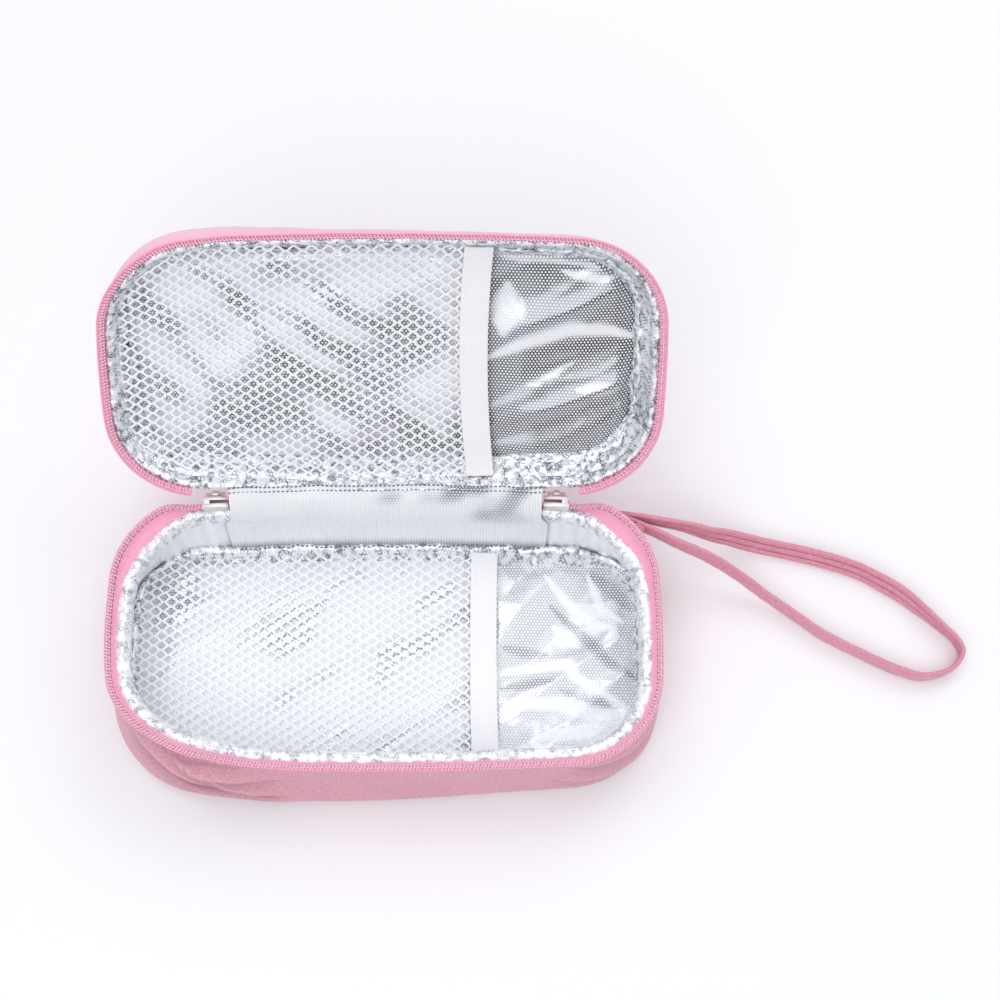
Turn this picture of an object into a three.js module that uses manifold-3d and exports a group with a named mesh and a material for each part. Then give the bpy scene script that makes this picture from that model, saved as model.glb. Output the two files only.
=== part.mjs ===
// Insulin cooling case: a soft zipped pouch lying open, with a foil lining and a net pocket in each half.
// Millimetres, +Z up. The origin is the middle of the base's underside and +Y points to the hinge.
import * as THREE from "three";
import { mergeVertices } from "three/addons/utils/BufferGeometryUtils.js";
import Module from "manifold-3d";

const wasm = await Module();
wasm.setup();

// Outline of the base's rim from above: four bowed sides joined by round corners
const HALF_WIDTH = 102;
const HALF_DEPTH = 51.5;
const CORNER_RADIUS = 32;
const LONG_SIDE_RADIUS = 1400;
const SHORT_SIDE_RADIUS = 420;
const CORNER_STEPS = 6;
const SHORT_SIDE_STEPS = 3;
const HALF_LONG_SIDE_STEPS = 2;

// Heights, and how far the walls lean
const BASE_HEIGHT = 36.5;
const BASE_SPREAD = 4.5;
const LID_DEPTH = 16;
const LID_TAPER = 2.5;
const LID_OVERHANG = 1;
const EDGE_RADIUS = 7;
const EDGE_STEPS = 3;
const ROUND_STEPS = 12;

// Layers of each wall, from the outside in, and the gap kept between two pieces that touch
const FABRIC = 1;
const FOAM = 3;
const FOIL = 0.6;
const GAP = 0.3;
const HEM = 0.8;

// Seam roll round the floor, and the net pocket that is sewn to it
const SEAM_HEIGHT = 5.6;
const SEAM_WIDTH = 3;
const SEAM_ROUND = 1;
const NET_THICKNESS = 0.8;
const NET_BORDER = 2.5;
const NET_PITCH = 12.4;
const NET_STRAND = 2;
const BASE_MOUTH = 33;
const LID_MOUTH = 31;
const BINDING_WIDTH = 10;
const BINDING_THICKNESS = 1.2;

// The swell of the lid's lining beside its pocket, and its main folds
const LINER_SWELL = 1.8;
const SWELL_START = LID_MOUTH + 14;
const SWELL_RAMP = 12;
const SWELL_EDGE = 13;
const SWELL_EDGE_RAMP = 4.5;
const SWELL_STEP = 3.2;
const SWELL_TOLERANCE = 0.03;
const FOLD_BEND = 2;
const FOLD_SHARPNESS = 1.3;
const LINER_FOLDS = [
  { from: [40, -9], to: [98, -36], width: 7, height: 2.3 },
  { from: [40, 27], to: [99, 4], width: 7, height: 2.2 },
  { from: [42, 42], to: [90, 22], width: 5, height: 1.4 },
  { from: [52, 6], to: [96, -10], width: 6, height: -0.9 },
];

// Zip: each half is a tape with a row of teeth along its free edge
const ZIP_LIFT = 9.2;
const ZIP_START = HALF_WIDTH - 49.2;
const LID_ZIP_START = HALF_WIDTH - 28;
const TAPE_THICKNESS = 0.7;
const TAPE_INSET = 0.4;
const TAPE_REACH = 4.5;
const TAPE_END_REACH = 2.9;
const LID_TAPE_REACH = 3.1;
const TAPE_FLARE = THREE.MathUtils.degToRad(45);
const TWIST_START = HALF_WIDTH - 29;
const TWIST_LENGTH = 14;
const TAPE_STEP = 7;
const TOOTH_PITCH = 3.6;
const TOOTH_BACK = 0.8;
const TOOTH_TIP = 0.9;
const TOOTH_GULLET = 0.1;
const TOOTH_THICKNESS = 1.8;
const TOOTH_TIP_THICKNESS = 1.1;

// Fabric hinge: the lid is sewn to the top of a strip that stands on the base's rear wall
const OPEN_ANGLE = THREE.MathUtils.degToRad(129);
const HINGE_HALF_LENGTH = HALF_WIDTH - 49.5;
const HINGE_LINER_HALF_LENGTH = HALF_WIDTH - 42;
const HINGE_LINER_INSET = 3.4;

// Zip sliders, parked at the hinge ends of the zip, and their pulls
const SLIDER_AT = HALF_WIDTH - 36;
const SLIDER_LENGTH = 10;
const SLIDER_HEIGHT = 5.9;
const SLIDER_NARROW = 4.9;
const SLIDER_PLATE = 0.9;
const CHANNEL_CLEARANCE = 0.35;
const SLOT_WIDTH = 1.5;
const SLIDER_LIP = 1.1;
const SLIDER_SHOULDER = 0.75;
const POST_LENGTH = 2.4;
const ROD = 1;
const ROD_STANDOFF = 1.95;
const ROD_HALF_LENGTH = 2.6;
const EYE_RADIUS = 1.6;
const EYE_BORE = 0.9;
const EYE_WIDTH = 2.2;
const PULL_LENGTH = 18;
const PULL_WIDTH = 5;
const PULL_NECK = 2.2;
const PULL_THICKNESS = 1;

// Wrist strap: a loop of folded fabric, standing on edge, sewn into the right rear corner
const STRAP_WIDTH = 8;
const STRAP_THICKNESS = 1.6;
const STRAP_STEPS = 60;
const ANCHOR_ANGLE = THREE.MathUtils.degToRad(40);
const ANCHOR_REACH = 5.2;
const ANCHOR_THICKNESS = 4;
const ANCHOR_DROP = 1.4;
const STRAP_ROUTE = [
  [98.9, 43.8, 31], [101.5, 46, 30.8], [107, 48, 28.6], [119, 46.3, 22], [128, 45.5, 16.5],
  [136, 45.6, 11.5], [145, 44.6, 7.5], [154, 43.2, 5.2], [170, 39.8, 4.5], [186, 34.8, 4.5],
  [196, 29.8, 4.5], [206, 23.4, 4.5], [213, 17.4, 4.5], [220, 10.8, 4.5], [226, 4.4, 4.5],
  [228, -1, 4.5], [225, -6, 4.5], [219, -9.4, 4.5], [211, -10.6, 4.5], [203, -8.4, 4.5],
  [195, -5, 4.5], [188, -1.4, 4.5], [180, 2.8, 4.5], [172, 7.4, 4.5], [165, 12.6, 4.6],
  [157, 18.4, 5.2], [149, 23.6, 7], [141.5, 28.2, 10.5], [132.5, 32.6, 15.5], [124, 35.6, 20.5],
  [115, 38, 25], [108, 40.4, 28.6], [104.4, 42.9, 30.6], [101.1, 42.6, 31],
];

// Heights that follow from the sizes above
const FLOOR_FOAM = FABRIC + GAP;
const FLOOR_LINER = FLOOR_FOAM + FOAM + GAP;
const FLOOR_TOP = FLOOR_LINER + FOIL;
const NET_RISE = GAP + SEAM_HEIGHT + GAP;
const LID_RIM = BASE_HEIGHT + ZIP_LIFT;
const LID_TOP = LID_RIM + LID_DEPTH;
const WALL_STACK = FABRIC + GAP + FOAM + GAP;
const SANDWICH_STOP = HEM + 2 * GAP;
const HINGE_Y = HALF_DEPTH + LID_OVERHANG;

function corner_centre() {
  const long_centre = new THREE.Vector2(0, HALF_DEPTH - LONG_SIDE_RADIUS);
  const short_centre = new THREE.Vector2(HALF_WIDTH - SHORT_SIDE_RADIUS, 0);
  const long_reach = LONG_SIDE_RADIUS - CORNER_RADIUS;
  const short_reach = SHORT_SIDE_RADIUS - CORNER_RADIUS;
  const across = short_centre.clone().sub(long_centre);
  const distance = across.length();
  const along = (long_reach ** 2 - short_reach ** 2 + distance ** 2) / (2 * distance);
  across.normalize();
  const aside = new THREE.Vector2(across.y, -across.x);
  long_centre.addScaledVector(across, along);
  return long_centre.addScaledVector(aside, Math.sqrt(long_reach ** 2 - along ** 2));
}

// The outline as arcs in order, from the middle of the rear, over the left, back to the middle of the rear.
// Its outward normal turns steadily, so that an angle names one point, and an offset only changes the radii.
function outline_arcs() {
  const corner = corner_centre();
  const long_y = HALF_DEPTH - LONG_SIDE_RADIUS;
  const short_x = HALF_WIDTH - SHORT_SIDE_RADIUS;
  const side = Math.atan2(corner.y, corner.x - short_x);
  const rear = Math.atan2(corner.y - long_y, corner.x);
  const half = Math.PI;
  const arc = (x, y, radius, from, to, steps) => ({ x, y, radius, from, to, steps });
  const long_arc = (y, from, to, steps) => arc(0, y, LONG_SIDE_RADIUS, from, to, steps);
  const short_arc = (x, from, to) => arc(x, 0, SHORT_SIDE_RADIUS, from, to, SHORT_SIDE_STEPS);
  const corner_arc = (x, y, from, to) => arc(x, y, CORNER_RADIUS, from, to, CORNER_STEPS);
  return [
    long_arc(long_y, half / 2, half - rear, HALF_LONG_SIDE_STEPS),
    corner_arc(-corner.x, corner.y, half - rear, half - side),
    short_arc(-short_x, half - side, half + side),
    corner_arc(-corner.x, -corner.y, half + side, half + rear),
    long_arc(-long_y, half + rear, 2 * half - rear, 2 * HALF_LONG_SIDE_STEPS),
    corner_arc(corner.x, -corner.y, 2 * half - rear, 2 * half - side),
    short_arc(short_x, 2 * half - side, 2 * half + side),
    corner_arc(corner.x, corner.y, 2 * half + side, 2 * half + rear),
    long_arc(long_y, 2 * half + rear, 2.5 * half, HALF_LONG_SIDE_STEPS),
  ];
}

const ARCS = outline_arcs();
const LENGTH = ARCS.reduce((sum, arc) => sum + arc.radius * (arc.to - arc.from), 0);
const LOOP = ARCS.flatMap((arc) =>
  Array.from({ length: arc.steps }, (_, i) => arc.from + ((arc.to - arc.from) * i) / arc.steps));

function outline_point(angle, offset, z) {
  const turn = angle < Math.PI / 2 ? angle + 2 * Math.PI : angle;
  const arc = ARCS.find((one) => turn <= one.to) ?? ARCS[ARCS.length - 1];
  const reach = arc.radius + offset;
  return new THREE.Vector3(arc.x + reach * Math.cos(turn), arc.y + reach * Math.sin(turn), z);
}

function angle_at(length) {
  let rest = length;
  for (const arc of ARCS) {
    const span = arc.radius * (arc.to - arc.from);
    if (rest <= span) return arc.from + rest / arc.radius;
    rest -= span;
  }
  return ARCS[ARCS.length - 1].to;
}

// A closed solid from rows of points: row i joins row i + 1, and each row is one closed section
function solid_of_rows(rows, closed) {
  const count = rows[0].length;
  const index = [];
  const last = closed ? rows.length : rows.length - 1;
  for (let i = 0; i < last; i += 1) {
    const here = i * count;
    const next = ((i + 1) % rows.length) * count;
    for (let j = 0; j < count; j += 1) {
      const k = (j + 1) % count;
      index.push(here + j, next + j, next + k, here + j, next + k, here + k);
    }
  }
  if (!closed) {
    const end = (rows.length - 1) * count;
    for (let j = 1; j < count - 1; j += 1) {
      index.push(0, j, j + 1, end, end + j + 1, end + j);
    }
  }
  const geometry = new THREE.BufferGeometry();
  const places = rows.flat().flatMap((point) => point.toArray());
  geometry.setAttribute("position", new THREE.Float32BufferAttribute(places, 3));
  geometry.setIndex(index);
  return geometry;
}

// A section of [offset, z] points, anticlockwise with the offset to the right, carried round the outline
function ring(section) {
  return solid_of_rows(LOOP.map((angle) => section.map(([o, z]) => outline_point(angle, o, z))), true);
}

function run(angles, section_at) {
  const rows = angles.map((angle, i) => section_at(i).map(([o, z]) => outline_point(angle, o, z)));
  return solid_of_rows(rows, false);
}

function rear_run(half_length, section) {
  const half_turn = half_length / LONG_SIDE_RADIUS;
  const steps = 2 * HALF_LONG_SIDE_STEPS;
  const angles = Array.from({ length: steps + 1 }, (_, i) =>
    Math.PI / 2 + half_turn * ((2 * i) / steps - 1));
  return run(angles, () => section);
}

function extruded(points, holes, depth, z) {
  const shape = new THREE.Shape(points);
  shape.holes = holes.map((hole) => new THREE.Path(hole));
  const geometry = new THREE.ExtrudeGeometry(shape, { depth, bevelEnabled: false });
  return geometry.translate(0, 0, z);
}

function panel(offset, z, thickness) {
  const points = LOOP.map((angle) => outline_point(angle, offset, 0));
  return extruded(points.map((p) => new THREE.Vector2(p.x, p.y)), [], thickness, z);
}

function to_solid(geometry) {
  const bare = geometry.clone();
  bare.deleteAttribute("normal");
  bare.deleteAttribute("uv");
  const merged = mergeVertices(bare, 1e-4);
  return new wasm.Manifold(new wasm.Mesh({
    numProp: 3,
    vertProperties: new Float32Array(merged.attributes.position.array),
    triVerts: new Uint32Array(merged.index.array),
  }));
}

function to_geometry(solid) {
  const mesh = solid.getMesh();
  const geometry = new THREE.BufferGeometry();
  geometry.setAttribute("position", new THREE.Float32BufferAttribute(mesh.vertProperties, 3));
  geometry.setIndex(new THREE.BufferAttribute(mesh.triVerts, 1));
  return geometry;
}

function block(width, depth, height, x, y, z) {
  return to_solid(new THREE.BoxGeometry(width, depth, height).translate(x, y, z));
}

// Where the outer face of each wall lies: the base spreads towards its floor, the lid tapers to its top
function base_wall(z) {
  return (BASE_SPREAD * (BASE_HEIGHT - z)) / (BASE_HEIGHT - EDGE_RADIUS);
}

function lid_wall(z) {
  return LID_OVERHANG - (LID_TAPER * (z - LID_RIM)) / (LID_DEPTH - EDGE_RADIUS);
}

function layer(wall, depth, thickness, low, high) {
  const inner = depth + thickness;
  return ring([
    [wall(low) - inner, low], [wall(low) - depth, low],
    [wall(high) - depth, high], [wall(high) - inner, high],
  ]);
}

function edge_arc(offset, z, radius, from, to) {
  return Array.from({ length: EDGE_STEPS + 1 }, (_, i) => {
    const turn = from + ((to - from) * i) / EDGE_STEPS;
    return [offset + radius * Math.cos(turn), z + radius * Math.sin(turn)];
  });
}

function base_side_band() {
  const centre = BASE_SPREAD - EDGE_RADIUS;
  const quarter = Math.PI / 2;
  return ring([
    ...edge_arc(centre, EDGE_RADIUS, EDGE_RADIUS, -quarter, 0),
    [0, BASE_HEIGHT],
    [-FABRIC, BASE_HEIGHT],
    ...edge_arc(centre, EDGE_RADIUS, EDGE_RADIUS - FABRIC, 0, -quarter),
  ]);
}

function lid_side_band() {
  const centre = LID_OVERHANG - LID_TAPER - EDGE_RADIUS;
  const quarter = Math.PI / 2;
  return ring([
    [LID_OVERHANG, LID_RIM],
    ...edge_arc(centre, LID_TOP - EDGE_RADIUS, EDGE_RADIUS, 0, quarter),
    ...edge_arc(centre, LID_TOP - EDGE_RADIUS, EDGE_RADIUS - FABRIC, quarter, 0),
    [LID_OVERHANG - FABRIC, LID_RIM],
  ]);
}

function rim_hem(wall, low) {
  const face = Math.min(wall(low), wall(low + HEM));
  const outer = face - FABRIC - GAP;
  const inner = face - WALL_STACK - FOIL;
  return ring([[inner, low], [outer, low], [outer, low + HEM], [inner, low + HEM]]);
}

// The roll stands on the lining at z, and its round side faces the way that rise points
function seam_roll(outer, z, rise) {
  const inner = outer - SEAM_WIDTH;
  const crown = z + rise * SEAM_HEIGHT;
  const shoulder = crown - rise * SEAM_ROUND;
  const section = [
    [inner, z], [outer, z], [outer, shoulder], [outer - SEAM_ROUND, crown],
    [inner + SEAM_ROUND, crown], [inner, shoulder],
  ];
  return ring(rise > 0 ? section : section.reverse());
}

function is_inside(point, polygon) {
  return polygon.every((a, i) => {
    const b = polygon[(i + 1) % polygon.length];
    return (b.x - a.x) * (point.y - a.y) - (b.y - a.y) * (point.x - a.x) > 0;
  });
}

// How far a point lies inside the rim's outline
function depth_inside(x, y) {
  const corner = corner_centre();
  const across = Math.abs(x) - corner.x;
  const along = Math.abs(y) - corner.y;
  if (across > 0 && along > 0) return CORNER_RADIUS - Math.hypot(across, along);
  const bow_x = SHORT_SIDE_RADIUS - Math.sqrt(SHORT_SIDE_RADIUS ** 2 - y ** 2);
  const bow_y = LONG_SIDE_RADIUS - Math.sqrt(LONG_SIDE_RADIUS ** 2 - x ** 2);
  return Math.min(HALF_WIDTH - bow_x - Math.abs(x), HALF_DEPTH - bow_y - Math.abs(y));
}

function fold_height(x, y, { from, to, width, height }) {
  const run_x = to[0] - from[0];
  const run_y = to[1] - from[1];
  const size = Math.hypot(run_x, run_y);
  const share = ((x - from[0]) * run_x + (y - from[1]) * run_y) / size ** 2;
  const away = ((x - from[0]) * run_y - (y - from[1]) * run_x) / size + FOLD_BEND * Math.sin(3 * share);
  const rising = THREE.MathUtils.smoothstep(share, -0.15, 0.25);
  const fading = 1 - THREE.MathUtils.smoothstep(share, 0.75, 1.1);
  return height * Math.exp(-(Math.abs(away / width) ** FOLD_SHARPNESS)) * rising * fading;
}

// The lid's lining is flat behind the net; beside the pocket it swells into the room, with folds across it
function lid_liner(offset, z) {
  const swell = (x, y) => {
    const beside = THREE.MathUtils.smoothstep(x, SWELL_START, SWELL_START + SWELL_RAMP);
    const room = THREE.MathUtils.smoothstep(depth_inside(x, y), SWELL_EDGE, SWELL_EDGE + SWELL_EDGE_RAMP);
    const folds = LINER_FOLDS.reduce((sum, fold) => sum + fold_height(x, y, fold), 0);
    return beside * room * (LINER_SWELL + folds);
  };
  const fine = to_solid(panel(offset, z, FOIL)).refineToLength(SWELL_STEP);
  const swollen = fine.warp((point) => {
    point[2] -= swell(point[0], point[1]);
  });
  return to_geometry(swollen.simplify(SWELL_TOLERANCE));
}

// The part of the outline to the left of the pocket's mouth
function pocket_outline(offset, mouth) {
  const turn = Math.acos(mouth / (LONG_SIDE_RADIUS + offset));
  const between = LOOP.filter((angle) => angle > turn && angle < 2 * Math.PI - turn);
  return [turn, ...between, 2 * Math.PI - turn].map((angle) => {
    const point = outline_point(angle, offset, 0);
    return new THREE.Vector2(Math.min(point.x, mouth), point.y);
  });
}

function pocket_net(offset, mouth, z) {
  const inside = pocket_outline(offset - NET_BORDER, mouth - NET_BORDER);
  const half = (NET_PITCH - NET_STRAND * Math.SQRT2) / 2;
  const corners = [[half, 0], [0, half], [-half, 0], [0, -half]];
  const count = Math.ceil((2 * HALF_WIDTH) / NET_PITCH);
  const holes = [];
  for (let row = -count; row <= count; row += 1) {
    for (let column = -count; column <= count; column += 1) {
      const shift = row % 2 === 0 ? 0 : NET_PITCH / 2;
      const x = column * NET_PITCH + shift;
      const y = (row * NET_PITCH) / 2;
      const hole = corners.map(([dx, dy]) => new THREE.Vector2(x + dx, y + dy));
      if (hole.every((point) => is_inside(point, inside))) holes.push(hole);
    }
  }
  return extruded(pocket_outline(offset, mouth), holes, NET_THICKNESS, z);
}

// The band along the pocket's mouth, with its ends cut to the bowed long sides
function pocket_binding(offset, mouth, z) {
  const reach = LONG_SIDE_RADIUS + offset;
  const edge = [mouth + GAP, mouth + GAP + BINDING_WIDTH];
  const points = [...edge, ...edge.toReversed()].map((x, i) => {
    const y = HALF_DEPTH - LONG_SIDE_RADIUS + Math.sqrt(reach ** 2 - x ** 2);
    return new THREE.Vector2(x, i < 2 ? -y : y);
  });
  return extruded(points, [], BINDING_THICKNESS, z);
}

// A strip across [offset, z], from one distance to another along its direction, with a thickness at each end
function strip(root, direction, from, to, thick, thick_end) {
  const aside = [direction[1], -direction[0]];
  const place = (along, out) => [0, 1].map((k) => root[k] + direction[k] * along + aside[k] * out);
  return [
    place(from, thick / 2), place(to, thick_end / 2), place(to, -thick_end / 2), place(from, -thick / 2),
  ];
}

// The base's tape stands upright in the sliders and flares outwards past them
function flare_share(length) {
  const from_end = Math.min(length, LENGTH - length);
  return THREE.MathUtils.smoothstep(from_end, TWIST_START, TWIST_START + TWIST_LENGTH);
}

function base_zip_line(length) {
  const share = flare_share(length);
  const flare = TAPE_FLARE * share;
  const lift = (TAPE_THICKNESS / 2) * Math.sin(flare);
  return {
    root: [-TAPE_INSET, BASE_HEIGHT + GAP + lift],
    direction: [Math.sin(flare), Math.cos(flare)],
    reach: THREE.MathUtils.lerp(TAPE_END_REACH, TAPE_REACH, share),
  };
}

function lid_zip_line() {
  const root = [LID_OVERHANG - TAPE_INSET, LID_RIM - GAP];
  return { root, direction: [0, -1], reach: LID_TAPE_REACH };
}

function stations(start, step) {
  const count = Math.round((LENGTH - 2 * start) / step);
  return Array.from({ length: count + 1 }, (_, i) => start + ((LENGTH - 2 * start) * i) / count);
}

function zip_tape(start, line_at) {
  const lengths = stations(start, TAPE_STEP);
  return run(lengths.map(angle_at), (i) => {
    const { root, direction, reach } = line_at(lengths[i]);
    return strip(root, direction, 0, reach - TOOTH_BACK - GAP, TAPE_THICKNESS, TAPE_THICKNESS);
  });
}

function zip_teeth(start, line_at) {
  const lengths = stations(start, TOOTH_PITCH / 2);
  return run(lengths.map(angle_at), (i) => {
    const { root, direction, reach } = line_at(lengths[i]);
    const tip = reach + (i % 2 === 1 ? TOOTH_TIP : TOOTH_GULLET);
    return strip(root, direction, reach - TOOTH_BACK, tip, TOOTH_THICKNESS, TOOTH_TIP_THICKNESS);
  });
}

function hinge_panel() {
  const low = BASE_HEIGHT + GAP;
  const high = LID_RIM - GAP;
  const top = LID_OVERHANG - GAP;
  return rear_run(HINGE_HALF_LENGTH, [[-FABRIC, low], [0, low], [top, high], [top - FABRIC, high]]);
}

function hinge_liner() {
  const low = BASE_HEIGHT + GAP;
  const high = LID_RIM - GAP;
  const outer = -HINGE_LINER_INSET;
  const inner = outer - FOIL;
  return rear_run(HINGE_LINER_HALF_LENGTH, [[inner, low], [outer, low], [outer, high], [inner, high]]);
}

// Slider frame: x runs along the zip, y to the rear and z up from the foot of the tape
const COIL_LOW = TAPE_END_REACH - TOOTH_BACK;
const COIL_HIGH = TAPE_END_REACH + TOOTH_TIP;
const CHANNEL_LOW = COIL_LOW - CHANNEL_CLEARANCE;
const SLIDER_LOW = CHANNEL_LOW - SLIDER_LIP;
const SLIDER_TOP = SLIDER_LOW + SLIDER_HEIGHT;
const CHANNEL_HIGH = SLIDER_TOP - SLIDER_LIP;
const CHANNEL_WIDTH = TOOTH_THICKNESS + 2 * CHANNEL_CLEARANCE;
const SLIDER_THICKNESS = CHANNEL_WIDTH + 2 * SLIDER_PLATE;
const ROD_Y = SLIDER_THICKNESS / 2 + ROD_STANDOFF;
const ROD_Z = (SLIDER_LOW + SLIDER_TOP) / 2;

function upright(points, thickness, y) {
  const geometry = extruded(points.map(([x, z]) => new THREE.Vector2(x, z)), [], thickness, -thickness / 2);
  return geometry.rotateX(Math.PI / 2).translate(0, y, 0);
}

function slider(side) {
  const end = (side * SLIDER_LENGTH) / 2;
  const shoulder = SLIDER_SHOULDER * end;
  const waist = (SLIDER_HEIGHT - SLIDER_NARROW) / 2;
  const shield = [
    [-end, SLIDER_LOW + waist], [0, SLIDER_LOW], [shoulder, SLIDER_LOW], [end, SLIDER_LOW + 2 * waist],
    [end, SLIDER_TOP - 2 * waist], [shoulder, SLIDER_TOP], [0, SLIDER_TOP], [-end, SLIDER_TOP - waist],
  ];
  const through = 2 * SLIDER_LENGTH;
  const channel_height = CHANNEL_HIGH - CHANNEL_LOW;
  const channel_z = (CHANNEL_HIGH + CHANNEL_LOW) / 2;
  const post_low = COIL_HIGH + CHANNEL_CLEARANCE;
  const post_high = SLIDER_TOP - SLIDER_LIP / 2;
  const post_x = end - (side * (POST_LENGTH + ROD)) / 2;
  const post_depth = SLIDER_THICKNESS - SLIDER_PLATE;
  const foot_from = (SLIDER_THICKNESS - SLIDER_PLATE) / 2;
  const foot_to = ROD_Y + ROD / 2;
  const foot_y = (foot_from + foot_to) / 2;
  const foot_x = ROD_HALF_LENGTH + ROD / 2;
  return to_geometry(
    to_solid(upright(shield, SLIDER_THICKNESS, 0))
      .subtract(block(through, CHANNEL_WIDTH, channel_height, 0, 0, channel_z))
      .subtract(block(through, SLOT_WIDTH, through, 0, 0, 0))
      .add(block(POST_LENGTH, post_depth, post_high - post_low, post_x, 0, (post_high + post_low) / 2))
      .add(block(ROD, foot_to - foot_from, ROD, foot_x, foot_y, ROD_Z))
      .add(block(ROD, foot_to - foot_from, ROD, -foot_x, foot_y, ROD_Z))
      .add(block(2 * foot_x, ROD, ROD, 0, ROD_Y, ROD_Z)));
}

// The pull hangs from the slider's rod by a round eye; its own origin is the rod
function pull() {
  const eye = new THREE.Shape().absarc(0, 0, EYE_RADIUS, 0, 2 * Math.PI);
  eye.holes.push(new THREE.Path().absarc(0, 0, EYE_BORE, 0, 2 * Math.PI));
  const knuckle = new THREE.ExtrudeGeometry(eye, {
    depth: EYE_WIDTH, bevelEnabled: false, curveSegments: ROUND_STEPS,
  });
  knuckle.rotateY(Math.PI / 2).translate(-EYE_WIDTH / 2, 0, 0);
  const neck = PULL_NECK / 2;
  const wide = PULL_WIDTH / 2;
  const start = -(EYE_RADIUS + EYE_BORE) / 2;
  const tab = [
    [neck, start], [neck, start - neck], [wide, start - wide - neck], [wide, wide - PULL_LENGTH],
    [wide / 2, -PULL_LENGTH], [-wide / 2, -PULL_LENGTH], [-wide, wide - PULL_LENGTH],
    [-wide, start - wide - neck], [-neck, start - neck], [-neck, start],
  ];
  return to_geometry(to_solid(knuckle).add(to_solid(upright(tab, PULL_THICKNESS, 0))));
}

// A flat strap along the route: its width stands upright and its thickness lies across the way it runs
function wrist_strap() {
  const route = new THREE.CatmullRomCurve3(STRAP_ROUTE.map((point) => new THREE.Vector3(...point)));
  const up = new THREE.Vector3(0, 0, 1);
  const rows = Array.from({ length: STRAP_STEPS + 1 }, (_, i) => {
    const point = route.getPointAt(i / STRAP_STEPS);
    const along = route.getTangentAt(i / STRAP_STEPS);
    const across = new THREE.Vector3().crossVectors(along, up).setLength(STRAP_THICKNESS / 2);
    const rise = new THREE.Vector3().crossVectors(across, along).setLength(STRAP_WIDTH / 2);
    return [[1, -1], [1, 1], [-1, 1], [-1, -1]].map(([a, r]) =>
      point.clone().addScaledVector(across, a).addScaledVector(rise, r));
  });
  return solid_of_rows(rows, false);
}

function strap_anchor() {
  const high = BASE_HEIGHT - ANCHOR_DROP;
  const low = high - STRAP_WIDTH;
  const face = base_wall(low) + GAP;
  const middle = outline_point(ANCHOR_ANGLE, face + ANCHOR_REACH / 2, (low + high) / 2);
  const geometry = new THREE.BoxGeometry(ANCHOR_REACH, ANCHOR_THICKNESS, STRAP_WIDTH);
  return { geometry, position: middle, turn: ANCHOR_ANGLE };
}

function finish(color, roughness, metalness) {
  return { color, roughness, metalness };
}

const ROSE = finish(0xd09aac, 0.9, 0);
const PINK = finish(0xf6a9c6, 0.75, 0);
const FOAM_WHITE = finish(0xf1f0ee, 0.95, 0);
const SILVER = finish(0xc9ccd2, 0.3, 0.9);
const WHITE = finish(0xf4f3f1, 0.85, 0);
const NICKEL = finish(0xc4c2be, 0.35, 1);
const DARK_ROSE = finish(0xc4718a, 0.9, 0);

function part(name, geometry, look) {
  const mesh = new THREE.Mesh(geometry, new THREE.MeshStandardMaterial(look));
  mesh.name = name;
  return mesh;
}

function base_half() {
  const edge = BASE_SPREAD - EDGE_RADIUS;
  const stop = BASE_HEIGHT - SANDWICH_STOP;
  const net_z = FLOOR_TOP + NET_RISE;
  const inside = base_wall(net_z + BINDING_THICKNESS) - WALL_STACK - FOIL - GAP;
  return [
    part("base_bottom_panel", panel(edge - GAP, 0, FABRIC), ROSE),
    part("base_side_band", base_side_band(), ROSE),
    part("base_floor_foam", panel(edge - GAP, FLOOR_FOAM, FOAM), FOAM_WHITE),
    part("base_wall_foam", layer(base_wall, FABRIC + GAP, FOAM, EDGE_RADIUS, stop), FOAM_WHITE),
    part("base_floor_liner", panel(BASE_SPREAD - WALL_STACK, FLOOR_LINER, FOIL), SILVER),
    part("base_wall_liner", layer(base_wall, WALL_STACK, FOIL, FLOOR_TOP + GAP, stop), SILVER),
    part("base_floor_seam", seam_roll(inside, FLOOR_TOP + GAP, 1), SILVER),
    part("base_rim_hem", rim_hem(base_wall, BASE_HEIGHT - GAP - HEM), SILVER),
    part("base_zip_tape", zip_tape(ZIP_START, base_zip_line), PINK),
    part("base_zip_teeth", zip_teeth(ZIP_START, base_zip_line), PINK),
    part("base_pocket_net", pocket_net(inside, BASE_MOUTH, net_z), WHITE),
    part("base_pocket_binding", pocket_binding(inside, BASE_MOUTH, net_z), WHITE),
    part("hinge_panel", hinge_panel(), ROSE),
    part("hinge_liner", hinge_liner(), SILVER),
  ];
}

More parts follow.
